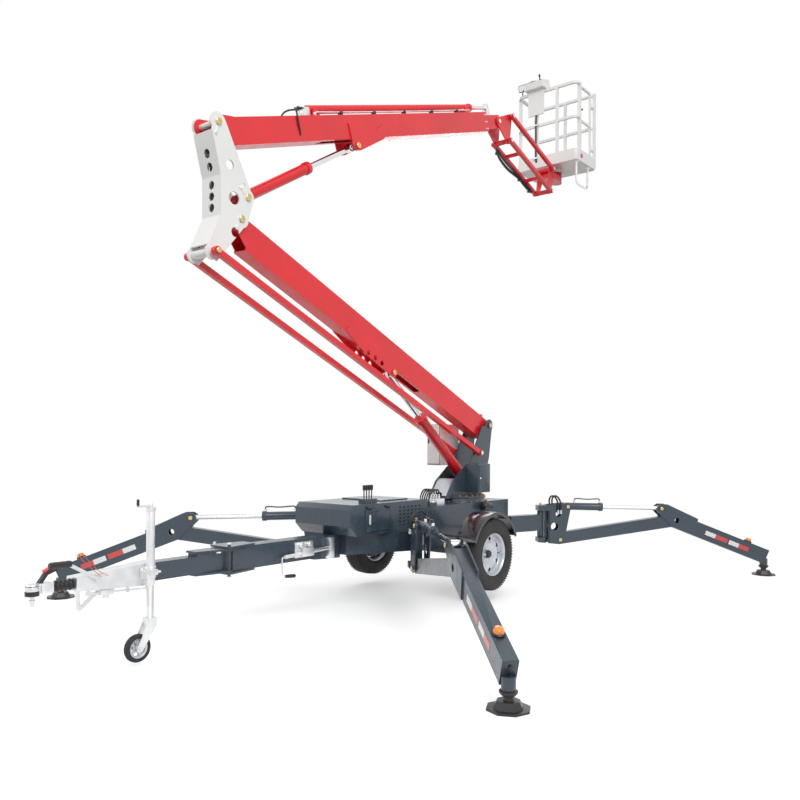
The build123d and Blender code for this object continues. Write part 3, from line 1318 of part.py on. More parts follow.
with BuildPart() as platform_gate:
    gate_y = GATE_PIN[1]
    front_x = gate_front - CAGE_TUBE - RUN_GAP
    half = CAGE_TUBE / 2
    rear_x = GATE_PIN[0] + 32
    low_z = CAGE_FLOOR + TOE_HEIGHT + RUN_GAP
    for z in (low_z + half, CAGE_FLOOR + 560 + half, CAGE_TOP - half):
        square_between((rear_x, gate_y, z), (front_x, gate_y, z), CAGE_TUBE - 8)
    for x in (rear_x, front_x - half):
        square_between((x, gate_y, low_z), (x, gate_y, CAGE_TOP - 4), CAGE_TUBE - 8)
    for z in (CAGE_FLOOR + 300, CAGE_TOP - 160):
        rounded_link(
            Plane.XY.offset(z - 14), ((GATE_PIN, 14), ((rear_x, gate_y), 12)), 38
        )
        round_bar(
            Plane.XY.offset(z - 14), GATE_PIN, GATE_PIN_RADIUS + PIN_GAP, 60, mode=Mode.SUBTRACT
        )
export(platform_gate.part, "platform_gate")
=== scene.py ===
import json
from math import atan2, cos, pi, radians, sin

import bpy
from mathutils import Matrix, Vector


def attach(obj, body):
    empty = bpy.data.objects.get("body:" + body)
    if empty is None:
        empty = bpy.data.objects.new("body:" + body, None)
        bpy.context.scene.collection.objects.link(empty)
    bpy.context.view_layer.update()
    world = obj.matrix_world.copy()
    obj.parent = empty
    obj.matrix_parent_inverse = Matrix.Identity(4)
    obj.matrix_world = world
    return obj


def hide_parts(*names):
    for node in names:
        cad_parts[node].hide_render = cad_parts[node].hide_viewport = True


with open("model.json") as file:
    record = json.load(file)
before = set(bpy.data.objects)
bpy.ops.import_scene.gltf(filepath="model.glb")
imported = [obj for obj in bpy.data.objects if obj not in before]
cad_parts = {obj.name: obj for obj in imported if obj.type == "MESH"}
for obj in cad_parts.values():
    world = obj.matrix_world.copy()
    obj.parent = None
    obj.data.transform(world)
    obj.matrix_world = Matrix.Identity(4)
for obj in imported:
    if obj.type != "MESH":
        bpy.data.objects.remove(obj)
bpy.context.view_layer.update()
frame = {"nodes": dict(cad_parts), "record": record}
nodes = frame["nodes"]
scene = bpy.context.scene

# Place of the wheels' axle along the machine, in metres, in the frame of the CAD model
AXLE_X = -0.32
# Direction to the machine's left
ACROSS = Vector((0, 1.0, 0))
# A frame that is moved without a turn
moved = Matrix.Translation


# Materials

def new_material(name):
    """A material with its tree, its shader and the object's own coordinates."""
    material = bpy.data.materials.new(name)
    material.use_nodes = True
    tree = material.node_tree
    place = tree.nodes.new("ShaderNodeTexCoord")
    return material, tree, tree.nodes["Principled BSDF"], place.outputs["Object"]


def set_inputs(node, values):
    """Sets inputs of a node by their names."""
    for name, value in values.items():
        node.inputs[name].default_value = value


def add_node(tree, kind, values):
    """A node of a kind with some of its inputs set."""
    node = tree.nodes.new(kind)
    set_inputs(node, values)
    return node


def noise(tree, where, scale, detail=4.0):
    """A noise field over the object's own coordinates."""
    node = add_node(tree, "ShaderNodeTexNoise", {"Scale": scale, "Detail": detail, "Roughness": 0.55})
    tree.links.new(where, node.inputs["Vector"])
    return node.outputs["Fac"]


def ramp(tree, value, stops):
    """A colour ramp with (position, colour) stops."""
    node = tree.nodes.new("ShaderNodeValToRGB")
    elements = node.color_ramp.elements
    while len(elements) < len(stops):
        elements.new(0.5)
    for element, (position, colour) in zip(elements, stops):
        element.position = position
        element.color = (*colour, 1.0)
    tree.links.new(value, node.inputs["Fac"])
    return node.outputs["Color"]


def spread(tree, value, low, high, start=0.3, end=0.7):
    """Maps a field from a range of its own values to a range of numbers."""
    node = add_node(tree, "ShaderNodeMapRange", {
        "From Min": start, "From Max": end, "To Min": low, "To Max": high,
    })
    tree.links.new(value, node.inputs["Value"])
    return node.outputs["Result"]


def surface(name, stops, cloud_scale, gloss_range, gloss_scale, relief, settings):
    """A material with a cloudy tone, uneven gloss and a fine relief of (scale, detail, depth)."""
    material, tree, shader, where = new_material(name)
    tone = ramp(tree, noise(tree, where, cloud_scale, 6.0), stops)
    tree.links.new(tone, shader.inputs["Base Color"])
    gloss = spread(tree, noise(tree, where, gloss_scale), *gloss_range)
    tree.links.new(gloss, shader.inputs["Roughness"])
    scale, detail, depth = relief
    node = add_node(tree, "ShaderNodeBump", {"Strength": 0.5, "Distance": depth})
    tree.links.new(noise(tree, where, scale, detail), node.inputs["Height"])
    tree.links.new(node.outputs["Normal"], shader.inputs["Normal"])
    set_inputs(shader, settings)
    return material


def toned(colour, factor):
    """A colour made darker or lighter by a factor."""
    return tuple(min(1.0, part * factor) for part in colour)


def paint(name, colour, gloss, coat=0.0, shade=0.08, metallic=0.0):
    """Sprayed paint: slight cloudiness, uneven gloss and orange peel."""
    stops = ((0.3, toned(colour, 1.0 - shade)), (0.7, toned(colour, 1.0 + shade)))
    settings = {"Coat Weight": coat, "Coat Roughness": 0.08, "Metallic": metallic}
    return surface(name, stops, 1.7, (gloss - 0.05, gloss + 0.07), 9.0, (320.0, 2.0, 0.0004), settings)


def metal(name, colour, gloss, grain, shade):
    """Bare or plated metal with a fine grain."""
    stops = ((0.35, toned(colour, 1.0 - shade)), (0.65, colour))
    gloss_range = (gloss - 0.04, gloss + 0.08)
    relief = (grain * 3.0, 2.0, 0.0002)
    return surface(name, stops, grain / 12.0, gloss_range, grain / 4.0, relief, {"Metallic": 1.0})


def rubber(name, colour, gloss):
    """Black rubber or moulded plastic with a dusty bloom."""
    stops = ((0.4, colour), (0.72, tuple(part + 0.012 for part in colour)))
    return surface(name, stops, 6.0, (gloss - 0.08, gloss + 0.08), 24.0, (500.0, 3.0, 0.0005), {})


def reflective(name, cell, line):
    """Reflective sheeting: small cells with paler seams."""
    material, tree, shader, where = new_material(name)
    cells = add_node(tree, "ShaderNodeTexVoronoi", {"Scale": 160.0})
    cells.feature = "DISTANCE_TO_EDGE"
    tree.links.new(where, cells.inputs["Vector"])
    tone = ramp(tree, cells.outputs["Distance"], ((0.04, line), (0.12, cell)))
    tree.links.new(tone, shader.inputs["Base Color"])
    set_inputs(shader, {"Roughness": 0.28, "Coat Weight": 0.6})
    return material


BOOM_RED = paint("boom_red_paint", (0.8, 0.016, 0.024), 0.3, coat=0.15)
CAGE_WHITE = paint("cage_white_paint", (0.87, 0.87, 0.86), 0.34, coat=0.15, shade=0.03)
SLATE = paint("slate_paint", (0.036, 0.056, 0.078), 0.28, coat=0.25)
SATIN_BLACK = paint("satin_black_paint", (0.014, 0.015, 0.017), 0.36, coat=0.1)
GLOSS_BLACK = paint("gloss_black_paint", (0.01, 0.012, 0.016), 0.14, coat=0.5)
CHROME = metal("chrome_rod", (0.78, 0.78, 0.79), 0.1, grain=60.0, shade=0.04)
ZINC = metal("zinc_plate", (0.84, 0.85, 0.86), 0.38, grain=90.0, shade=0.16)
WHEEL_STEEL = paint("wheel_silver_paint", (0.54, 0.57, 0.61), 0.3, coat=0.2, shade=0.05, metallic=0.6)
TYRE = rubber("tyre_rubber", (0.018, 0.018, 0.018), 0.72)
RUBBER = rubber("hose_rubber", (0.014, 0.014, 0.015), 0.5)
YELLOW_ZINC = metal("yellow_zinc", (0.72, 0.56, 0.26), 0.3, grain=110.0, shade=0.18)
ORANGE_BOLT = paint("orange_bolt_paint", (0.55, 0.19, 0.04), 0.4, shade=0.15)
AMBER = paint("amber_lens", (0.95, 0.27, 0.015), 0.12, coat=0.8, shade=0.1)
STRIP_RED = reflective("red_strip", (0.55, 0.02, 0.02), (0.72, 0.09, 0.08))
STRIP_WHITE = reflective("white_strip", (0.72, 0.72, 0.72), (0.86, 0.86, 0.86))

# Finish of each CAD node, by the slot that the record gives it
SLOT_MATERIALS = {
    "boom_red": BOOM_RED, "white_paint": CAGE_WHITE, "slate_paint": SLATE,
    "black_paint": SATIN_BLACK, "chrome_rod": CHROME, "zinc_steel": ZINC,
    "wheel_steel": WHEEL_STEEL, "tyre_rubber": TYRE, "black_rubber": RUBBER,
}

# Slot of an added piece, by its material's name
PIECE_SLOTS = {material.name: slot for slot, material in SLOT_MATERIALS.items()}
PIECE_SLOTS.update({
    YELLOW_ZINC.name: "zinc_steel", ORANGE_BOLT.name: "zinc_steel", AMBER.name: "boom_red",
    STRIP_RED.name: "boom_red", STRIP_WHITE.name: "white_paint",
})

# Seam gap and edge radius of the CAD nodes
SEAM_GAP = 0.00002
EDGE_RADIUS = 0.0025


def dress_cad():
    """Paints every CAD node and softens its edges."""
    for entry in frame["record"]["subparts"]:
        node = nodes[entry["node"]]
        node.data.materials.clear()
        material = GLOSS_BLACK if entry["node"] == "fenders" else SLOT_MATERIALS[entry["material_slot"]]
        node.data.materials.append(material)
        weld = node.modifiers.new("join_faces", "WELD")
        weld.merge_threshold = SEAM_GAP
        soft = node.modifiers.new("soft_edges", "BEVEL")
        soft.width = EDGE_RADIUS
        soft.segments = 2
        soft.limit_method = "ANGLE"
        soft.angle_limit = radians(40)
        soft.use_clamp_overlap = True


dress_cad()


# Modelling helpers

def clear_selection():
    """Object mode with nothing selected."""
    if bpy.context.object and bpy.context.object.mode != "OBJECT":
        bpy.ops.object.mode_set(mode="OBJECT")
    bpy.ops.object.select_all(action="DESELECT")


def hold(piece):
    """Selects one piece and makes it the active one."""
    clear_selection()
    piece.select_set(True)
    bpy.context.view_layer.objects.active = piece


def apply_modifier(piece, kind, **settings):
    """Adds a modifier, sets it and applies it."""
    hold(piece)
    modifier = piece.modifiers.new(kind.lower(), kind)
    for setting, value in settings.items():
        setattr(modifier, setting, value)
    bpy.ops.object.modifier_apply(modifier=modifier.name)


def join(pieces):
    """Several meshes made into one piece."""
    clear_selection()
    for piece in pieces:
        piece.select_set(True)
    bpy.context.view_layer.objects.active = pieces[0]
    if len(pieces) > 1:
        bpy.ops.object.join()
    return bpy.context.object


def finish(piece, name, material, body, edge=0.0, smooth=35.0):
    """Names a piece, breaks its edges, paints it and hangs it on its body."""
    piece.name = name
    piece.data.name = name
    if edge:
        apply_modifier(
            piece, "BEVEL", width=edge, segments=2, limit_method="ANGLE", angle_limit=radians(38)
        )
    hold(piece)
    bpy.ops.object.shade_smooth_by_angle(angle=radians(smooth))
    piece.data.materials.clear()
    piece.data.materials.append(material)
    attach(piece, body)
    return piece


def aim(place, way):
    """A frame at a place whose own Z points along a direction."""
    return moved(place) @ Vector(way).to_track_quat("Z", "Y").to_matrix().to_4x4()


def sheet_frame(origin, across, up=(0, 0, 1)):
    """A frame with X and Y along two directions of a sheet."""
    across = Vector(across).normalized()
    up = Vector(up).normalized()
    turn = Matrix((across, up, across.cross(up))).transposed().to_4x4()
    return moved(origin) @ turn


def around(middle, count, radius, shift=0.0):
    """Frames set evenly round the axis of a frame, at a radius."""
    out = moved((radius, 0, 0))
    return [
        middle @ Matrix.Rotation((step + shift) * 2 * pi / count, 4, "Z") @ out for step in range(count)
    ]


def oblong(width, height, corner, steps=5):
    """The outline of a rectangle with round corners, about its middle."""
    points = []
    for turn, x, y in ((0, 1, 1), (1, -1, 1), (2, -1, -1), (3, 1, -1)):
        middle = (x * (width / 2 - corner), y * (height / 2 - corner))
        for step in range(steps + 1):
            angle = (turn + step / steps) * pi / 2
            points.append((middle[0] + corner * cos(angle), middle[1] + corner * sin(angle)))
    return points


def mirrored(half):
    """A closed profile from the half of it on one side of its middle."""
    return (*half, *((radius, -across) for radius, across in reversed(half)), half[0])


def block(low, high):
    """A box between two corners, still to be bevelled."""
    clear_selection()
    low = Vector(low)
    high = Vector(high)
    bpy.ops.mesh.primitive_cube_add(size=1.0, location=(low + high) / 2)
    piece = bpy.context.object
    piece.scale = high - low
    bpy.ops.object.transform_apply()
    return piece


def bar(start, end, radius, sides=20):
    """A round or many-sided bar between two points."""
    clear_selection()
    start = Vector(start)
    way = Vector(end) - start
    bpy.ops.mesh.primitive_cylinder_add(
        vertices=sides, radius=radius, depth=way.length, location=start + way / 2,
        rotation=way.to_track_quat("Z", "Y").to_euler(),
    )
    bpy.ops.object.transform_apply()
    return bpy.context.object


def drawn_line(points):
    """A line of edges drawn point by point, left open in edit mode."""
    clear_selection()
    bpy.ops.mesh.primitive_plane_add(size=0.01)
    bpy.ops.object.mode_set(mode="EDIT")
    bpy.ops.mesh.select_all(action="SELECT")
    bpy.ops.mesh.merge(type="CENTER")
    bpy.ops.transform.translate(value=points[0])
    for before, after in zip(points, points[1:]):
        step = Vector(after) - Vector(before)
        bpy.ops.mesh.extrude_vertices_move(TRANSFORM_OT_translate={"value": step})
    bpy.ops.mesh.select_all(action="SELECT")
    return bpy.context.object


def tidy_faces():
    """Merges doubles and turns faces outwards, then leaves edit mode."""
    bpy.ops.mesh.select_all(action="SELECT")
    bpy.ops.mesh.remove_doubles(threshold=0.00001)
    bpy.ops.mesh.normals_make_consistent(inside=False)
    bpy.ops.object.mode_set(mode="OBJECT")


def turned(profile, steps):
    """A piece turned about Z from a profile of (radius, height)."""
    piece = drawn_line([(radius, 0, height) for radius, height in profile])
    bpy.ops.mesh.spin(steps=steps, angle=2 * pi, center=(0, 0, 0), axis=(0, 0, 1))
    tidy_faces()
    return piece


def upright(profile, place, steps):
    """A turned piece on the XY plane of a frame; its profile is in millimetres."""
    piece = turned([(radius / 1000, height / 1000) for radius, height in profile], steps)
    piece.data.transform(place)
    return piece


def spun(profile, place, way=(0, 0, 1), *, steps):
    """A turned piece at a place, its axis along a direction; its profile is in millimetres."""
    return upright(profile, aim(place, way), steps)


def plate(outline, thickness, place):
    """A plate cut to an outline in the XY plane of a frame, standing on it."""
    piece = drawn_line([(x, y, 0) for x, y in outline])
    bpy.ops.mesh.edge_face_add()
    bpy.ops.mesh.extrude_region_move(TRANSFORM_OT_translate={"value": (0, 0, thickness)})
    tidy_faces()
    piece.data.transform(place)
    return piece


def pad(width, height, corner, thickness, place):
    """A plate with round corners about the middle of a frame; its sizes are in millimetres."""
    return plate(oblong(width / 1000, height / 1000, corner / 1000), thickness / 1000, place)


def pipe(points, radius):
    """A bent pipe or hose along a smooth line."""
    clear_selection()
    line = bpy.data.curves.new("pipe_line", "CURVE")
    line.dimensions = "3D"
    spline = line.splines.new("NURBS")
    spline.points.add(len(points) - 1)
    for knot, point in zip(spline.points, points):
        knot.co = (*point, 1.0)
    spline.use_endpoint_u = True
    spline.order_u = 3
    line.resolution_u = 8
    line.bevel_depth = radius
    line.bevel_resolution = 3
    line.use_fill_caps = True
    piece = bpy.data.objects.new("pipe", line)
    scene.collection.objects.link(piece)
    hold(piece)
    bpy.ops.object.convert(target="MESH")
    return bpy.context.object


def copies(pattern, places):
    """One piece set at many places, each with its own mesh, then joined."""
    made = []
    for place in places:
        twin = pattern.copy()
        twin.data = pattern.data.copy()
        twin.data.transform(place)
        scene.collection.objects.link(twin)
        made.append(twin)
    bpy.data.objects.remove(pattern)
    return join(made)


def hex_bolt(size):
    """A bolt head on its washer, standing on the XY plane."""
    head = bar((0, 0, size * 0.16), (0, 0, size * 0.85), size * 0.58, sides=6)
    rim = size * 0.8
    top = size * 0.16
    washer = turned(
        ((0, 0), (rim, 0), (rim, size * 0.12), (size * 0.74, top), (0, top)), steps=16
    )
    return join([head, washer])


def pin_cap(radius, height):
    """The head of a pin with a chamfer and a drilled centre."""
    return turned(
        (
            (0, height * 0.7), (radius * 0.22, height * 0.72), (radius * 0.28, height),
            (radius * 0.8, height), (radius, height * 0.6), (radius, 0), (0, 0),
        ),
        steps=28,
    )


def pin_caps(places, radius, height, name, material, body):
    """Pin heads at (point, direction) places, as one piece."""
    caps = copies(pin_cap(radius, height), [aim(point, way) for point, way in places])
    finish(caps, name, material, body)


# Wheels

WHEEL_Z = 0.472
WHEEL_Y = 0.777
# Half of the tyre's outline, from the bead to the middle of the tread
TYRE_HALF = (
    (205.6, -70), (216, -78), (238, -90.5), (241, -94.5), (246, -92.5), (272, -99.5), (302, -99.5),
    (330, -95), (348, -86), (356.5, -74), (360.5, -60), (361.5, -52.5), (353, -50), (353, -44),
    (363.2, -41.5), (364.2, -19), (354, -16.5), (354, -10.5), (364.8, -8),
)
# The rim's outline, from its outer edge over the disc to its inner edge
RIM_PROFILE = (
    (205, 70), (214, 79.5), (213, 83), (208, 82.5), (201, 74), (196, 64), (190, 40), (184, 28), (176, 26.5),
    (160, 31), (138, 33), (126, 26), (115, 13), (110, 10.5), (34.3, 10.5), (34.3, -36), (78, -36), (86, 0),
    (134, 19), (160, 19), (176, 12), (184, -40), (196, -66), (201, -74), (208, -82.5), (213, -83),
    (214, -79.5), (205, -70), (205, 70),
)
LUG_COUNT = 72
LUG_RADIUS = 0.3525
# Rows of shoulder lugs: place across the tyre, lean, turn against the other row
LUG_ROWS = ((0.08, 0.45, 0), (-0.08, -0.45, pi / LUG_COUNT))
DRILL_CIRCLE = 0.158
NUT_CIRCLE = 0.062


def road_wheel(hand, side):
    """Ribbed tyre, drilled rim, drum, wheel nuts, cap and valve on one stub."""
    centre = Vector((AXLE_X, side * WHEEL_Y, WHEEL_Z))
    out = Vector((0, side, 0))
    hub = aim(centre, out)
    body = f"{hand}_wheel"
    carcass = spun(mirrored(TYRE_HALF), centre, out, steps=96)
    lug = block((-0.006, -0.011, -0.004), (0.006, 0.011, 0.0035))
    lay = Matrix.Rotation(pi / 2, 4, "Y") @ Matrix.Rotation(pi / 2, 4, "Z")
    places = []
    for step in range(LUG_COUNT):
        turn = Matrix.Rotation(step * 2 * pi / LUG_COUNT, 4, "Z")
        for height, lean, shift in LUG_ROWS:
            seat = Matrix.Rotation(shift, 4, "Z") @ turn @ moved((LUG_RADIUS, 0, height))
            places.append(hub @ seat @ Matrix.Rotation(lean, 4, "Y") @ lay)
    tyre = join([carcass, copies(lug, places)])
    finish(tyre, f"{hand}_road_tyre", TYRE, body, smooth=28.0)
    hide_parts(f"{hand}_tyre")

    rim = spun(RIM_PROFILE, centre, out, steps=72)
    drills = copies(
        bar((0, 0, -0.05), (0, 0, 0.09), 0.023, sides=24), around(hub, 6, DRILL_CIRCLE, shift=0.5)
    )
    apply_modifier(rim, "BOOLEAN", operation="DIFFERENCE", object=drills, solver="EXACT")
    bpy.data.objects.remove(drills)
    finish(rim, f"{hand}_road_rim", WHEEL_STEEL, body, edge=0.001)
    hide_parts(f"{hand}_rim")
    finish(spun(
        (
            (36, -66), (150, -66), (168, -56), (170, 2), (162, 6), (100, 4), (88, -6), (80, -38), (36, -40),
            (36, -66),
        ),
        centre, out, steps=56,
    ), f"{hand}_brake_drum", SATIN_BLACK, body)

    face = hub @ moved((0, 0, 0.01))
    nuts = copies(hex_bolt(0.017), around(face, 6, NUT_CIRCLE))
    finish(nuts, f"{hand}_wheel_nuts", ZINC, body, edge=0.0008)
    finish(spun(
        ((0, 34), (18, 33), (30, 28), (36, 18), (37, 4), (41, 3), (41, 0), (0, 0)),
        face.translation, out, steps=40,
    ), f"{hand}_hub_cap", SATIN_BLACK, body)
    stem_start = hub @ Vector((0.15, 0, 0.026))
    stem = bar(stem_start, stem_start + out * 0.03, 0.0045, sides=12)
    finish(stem, f"{hand}_valve_stem", RUBBER, body, edge=0.001)


# Outriggers

# Name of a leg: x of its post from the axle, y of the post, direction of the leg in degrees
LEG_POSTS = {
    "front_left": (0.85, 0.52, 49.0),
    "front_right": (0.85, -0.52, -49.0),
    "rear_left": (-1.65, 0.485, 133.0),
    "rear_right": (-1.65, -0.485, -133.0),
}
# Pins of a leg and the top of its post: outwards, height
LEG_PIN = (0.224, 0.446)
RAM_PIN = (0.316, 0.84)
KNEE_PIN = (1.473, 0.816)
POST_TOP = (0, 0.851)
# Side faces of the leg, and ends of the pins in the bracket and in the knee
LEG_HALF = 0.052
BRACKET_END = 0.084
KNEE_END = 0.076
FOOT_R = 2.79
LEG_SLOPE = atan2(0.305 - 0.8, 2.83 - 1.56)
# Reflective strips: start along the slope, length, colour
STRIPS = ((0.478, 0.137, "white"), (0.615, 0.158, "red"), (0.794, 0.134, "white"), (0.93, 0.13, "red"))
STRIP_START = (1.583, 0.697)
STRIP_HALF = 0.026
LAMP_FOOT = (2.585, 0.4015)
RAM_PORTS = (0.1, 0.41)
# The pipe between the ram's ports: along the barrel, out from its axis
RAM_LINE = (
    (0.1, 0.07), (0.1, 0.092), (0.13, 0.098), (0.26, 0.086), (0.38, 0.098), (0.41, 0.092), (0.41, 0.07),
)
# The hoses over a bracket: outwards, height, share of their reach to the side
HOSE_ROUTE = (
    (0.14, 0.79, -1.0), (0.138, 0.85, -1.0), (0.128, 0.905, -0.85), (0.132, 0.95, -0.45),
    (0.15, 0.968, 0), (0.172, 0.95, 0.45), (0.188, 0.905, 0.85), (0.192, 0.85, 1.0), (0.19, 0.79, 1.0),
)
HOSE_REACH = BRACKET_END + 0.013


class LegFrame:
    """Turns a leg's own (outwards, height, sideways) into the machine's frame."""

    def __init__(self, name):
        x, y, turn = LEG_POSTS[name]
        self.post = Vector((AXLE_X + x, y, 0))
        self.out = Vector((cos(radians(turn)), sin(radians(turn)), 0))
        self.pin = Vector((self.out.y, -self.out.x, 0))

    def at(self, r, z, off=0.0):
        """A point of the leg's own frame."""
        return self.post + self.out * r + Vector((0, 0, z)) + self.pin * off

    def ends(self, point, off):
        """Both ends of a pin, each with the way that it faces."""
        return [(self.at(*point, side * off), self.pin * side) for side in (-1, 1)]

    def side_frame(self, r, z, off, slope):
        """A frame on a side face: X along the leg's slope, Z out of the face."""
        facing = self.pin if off > 0 else -self.pin
        along = (self.out * cos(slope) + Vector((0, 0, sin(slope)))).normalized()
        turn = Matrix((along, facing.cross(along), facing)).transposed().to_4x4()
        return moved(self.at(r, z, off)) @ turn


def leg_marks(leg, name, beam):
    """Reflective strips and the lamp on the leg's slope."""
    strips = {"red": [], "white": []}
    for start, length, colour in STRIPS:
        stop = start + length - 0.002
        outline = ((start, -STRIP_HALF), (stop, -STRIP_HALF), (stop, STRIP_HALF), (start, STRIP_HALF))
        for side in (-1, 1):
            seat = leg.side_frame(*STRIP_START, side * LEG_HALF, LEG_SLOPE)
            strips[colour].append(plate(outline, 0.0012, seat))
    finish(join(strips["red"]), f"{name}_red_strips", STRIP_RED, beam)
    finish(join(strips["white"]), f"{name}_white_strips", STRIP_WHITE, beam)

    slope_up = Vector((0, 0, 1)) * cos(LEG_SLOPE) - leg.out * sin(LEG_SLOPE)
    finish(spun(
        ((0, 0), (46, 0), (46, 12), (40, 17), (0, 17)),
        leg.at(*LAMP_FOOT), slope_up, steps=32,
    ), f"{name}_lamp_base", SATIN_BLACK, beam)
    finish(spun(
        ((0, 52), (20, 50), (31, 43), (36, 30), (37, 17), (0, 17)),
        leg.at(*LAMP_FOOT), slope_up, steps=32,
    ), f"{name}_lamp_lens", AMBER, beam)


def leg_foot(leg, name, beam):
    """Collar over the foot pad, end cap of the leg and its lug."""
    finish(spun(
        (
            (30, 86), (44, 86), (50, 92), (50, 100.5), (58.5, 101.5), (58.5, 114), (46, 118), (30, 118),
            (30, 86),
        ),
        leg.at(FOOT_R, 0), steps=36,
    ), f"{name}_foot_collar", SATIN_BLACK, beam)
    seat = sheet_frame(leg.at(FOOT_R + 0.005, 0.225), -leg.pin, leg.out * 0.07 + Vector((0, 0, 0.16)))
    finish(pad(108, 180, 6, 6, seat), f"{name}_end_cap", SLATE, beam, edge=0.0015)
    lug = pad(26, 56, 12, 16, seat @ moved((0, 0.028, 0.004)))
    finish(lug, f"{name}_end_lug", SATIN_BLACK, beam, edge=0.004)


def leg_ram(leg, name, barrel):
    """Ports of the leg's ram and the pipe between them."""
    foot = leg.at(*RAM_PIN)
    way = (leg.at(*KNEE_PIN) - foot).normalized()
    up = leg.pin.cross(way)

    def over(along, rise):
        return foot + way * along + up * rise

    ports = []
    for along in RAM_PORTS:
        ports.append(bar(over(along, 0.036), over(along, 0.062), 0.012, sides=12))
        ports.append(bar(over(along, 0.06), over(along, 0.074), 0.014, sides=6))
    finish(join(ports), f"{name}_ram_ports", ZINC, barrel, edge=0.001)
    line = pipe([over(along, rise) for along, rise in RAM_LINE], 0.007)
    finish(line, f"{name}_ram_pipe", SATIN_BLACK, barrel)


def bracket_hoses(leg, name, bracket):
    """Two short hoses over the bracket, and their ends."""
    hoses = []
    hose_ends = []
    for shift in (0, 0.034):
        hoses.append(pipe([leg.at(r + shift, z, share * HOSE_REACH) for r, z, share in HOSE_ROUTE], 0.01))
        for r, side in ((0.14, -1), (0.19, 1)):
            low = leg.at(r + shift, 0.756, side * HOSE_REACH)
            high = leg.at(r + shift, 0.8, side * HOSE_REACH)
            hose_ends.append(bar(low, high, 0.014, sides=6))
    finish(join(hoses), f"{name}_bracket_hoses", RUBBER, bracket)
    finish(join(hose_ends), f"{name}_hose_ends", ZINC, bracket, edge=0.0015)


def leg_trim(name):
    """All added pieces of one leg, its bracket, its ram and its post."""
    leg = LegFrame(name)
    bracket = f"{name}_bracket"
    beam = f"{name}_leg"
    bracket_ends = leg.ends(LEG_PIN, BRACKET_END) + leg.ends(RAM_PIN, BRACKET_END)
    pin_caps(bracket_ends, 0.021, 0.009, f"{name}_bracket_pins", YELLOW_ZINC, bracket)
    pin_caps(leg.ends(KNEE_PIN, KNEE_END), 0.02, 0.006, f"{name}_knee_pins", YELLOW_ZINC, beam)
    leg_marks(leg, name, beam)
    leg_foot(leg, name, beam)
    leg_ram(leg, name, f"{name}_barrel")
    bracket_hoses(leg, name, bracket)
    finish(spun(
        ((0, 30), (10, 30), (13, 26), (13, 6), (30, 5), (30, 0), (0, 0)),
        leg.at(*POST_TOP), steps=24,
    ), f"{name}_post_cap", YELLOW_ZINC, "chassis")


# Booms, knuckle and jib: places in the upright plane through the machine's middle

BOOM_TILT = radians(22.96)
BOOM_FOOT = Vector((AXLE_X - 1.08, 0, 1.803))
BOOM_WAY = Vector((cos(BOOM_TILT), 0, sin(BOOM_TILT)))
BOOM_UP = Vector((-sin(BOOM_TILT), 0, cos(BOOM_TILT)))
HEAD_PIN = BOOM_FOOT + BOOM_WAY * 4.062
ROD_FOOT = Vector((AXLE_X - 0.791, 0, 1.484))
ROD_HEAD = ROD_FOOT + HEAD_PIN - BOOM_FOOT
UPPER_TILT = radians(161.0)
UPPER_PIVOT = HEAD_PIN + Vector((0.239, 0, 0.71))
UPPER_RAM_FOOT = HEAD_PIN + Vector((-0.0655, 0, 0.188))
UPPER_WAY = Vector((cos(UPPER_TILT), 0, sin(UPPER_TILT)))
UPPER_UP = Vector((sin(UPPER_TILT), 0, -cos(UPPER_TILT)))


def lower(along, up, y=0.0):
    """A point of the lower boom's own frame."""
    return BOOM_FOOT + BOOM_WAY * along + BOOM_UP * up + ACROSS * y


def upper(along, up, y=0.0):
    """A point of the upper boom's own frame."""
    return UPPER_PIVOT + UPPER_WAY * along + UPPER_UP * up + ACROSS * y


LIFT_EYE = lower(1.798, -0.223)
UPPER_EYE = upper(1.655, -0.247)
LEVEL_PIN = upper(4.43, -0.073)
JIB_HEAD_LOW = Vector((AXLE_X - 1.53, 0, 5.3))
JIB_HEAD_HIGH = Vector((AXLE_X - 1.575, 0, 5.61))
JIB_REACH = Vector((-1.05, 0, -0.353))
JIB_END_LOW = JIB_HEAD_LOW + JIB_REACH
JIB_END_HIGH = JIB_HEAD_HIGH + JIB_REACH

KNUCKLE_PINS = (HEAD_PIN, UPPER_PIVOT, UPPER_RAM_FOOT)
# Heads of cross pins: pins, place of their ends, radius, height, name, material, body
BOOM_PINS = (
    (KNUCKLE_PINS, 0.13, 0.027, 0.01, "knuckle_pin_heads", YELLOW_ZINC, "knuckle"),
    ((ROD_HEAD,), 0.207, 0.022, 0.008, "rod_head_pins", YELLOW_ZINC, "knuckle"),
    ((BOOM_FOOT,), 0.134, 0.028, 0.01, "boom_foot_pins", YELLOW_ZINC, "turret"),
    ((ROD_FOOT,), 0.207, 0.024, 0.007, "rod_foot_pins", ZINC, "turret"),
    ((LIFT_EYE,), 0.095, 0.027, 0.01, "lift_eye_pins", YELLOW_ZINC, "lower_boom"),
    ((UPPER_EYE,), 0.122, 0.027, 0.01, "upper_eye_pins", YELLOW_ZINC, "upper_boom"),
    ((LEVEL_PIN,), 0.098, 0.024, 0.009, "level_pin_heads", ZINC, "jib_head"),
    ((JIB_HEAD_LOW, JIB_HEAD_HIGH), 0.144, 0.022, 0.007, "jib_head_pins", ZINC, "jib_head"),
    ((JIB_END_LOW, JIB_END_HIGH), 0.144, 0.022, 0.007, "jib_end_pins", ZINC, "platform_support"),
)
# Directions of the keeper plates from the knuckle's pins
KEEPER_WAYS = (Vector((0.5, 0, -0.87)), Vector((0.2, 0, -0.98)), Vector((0.75, 0, 0.66)))
KEEPER_Y = 0.118


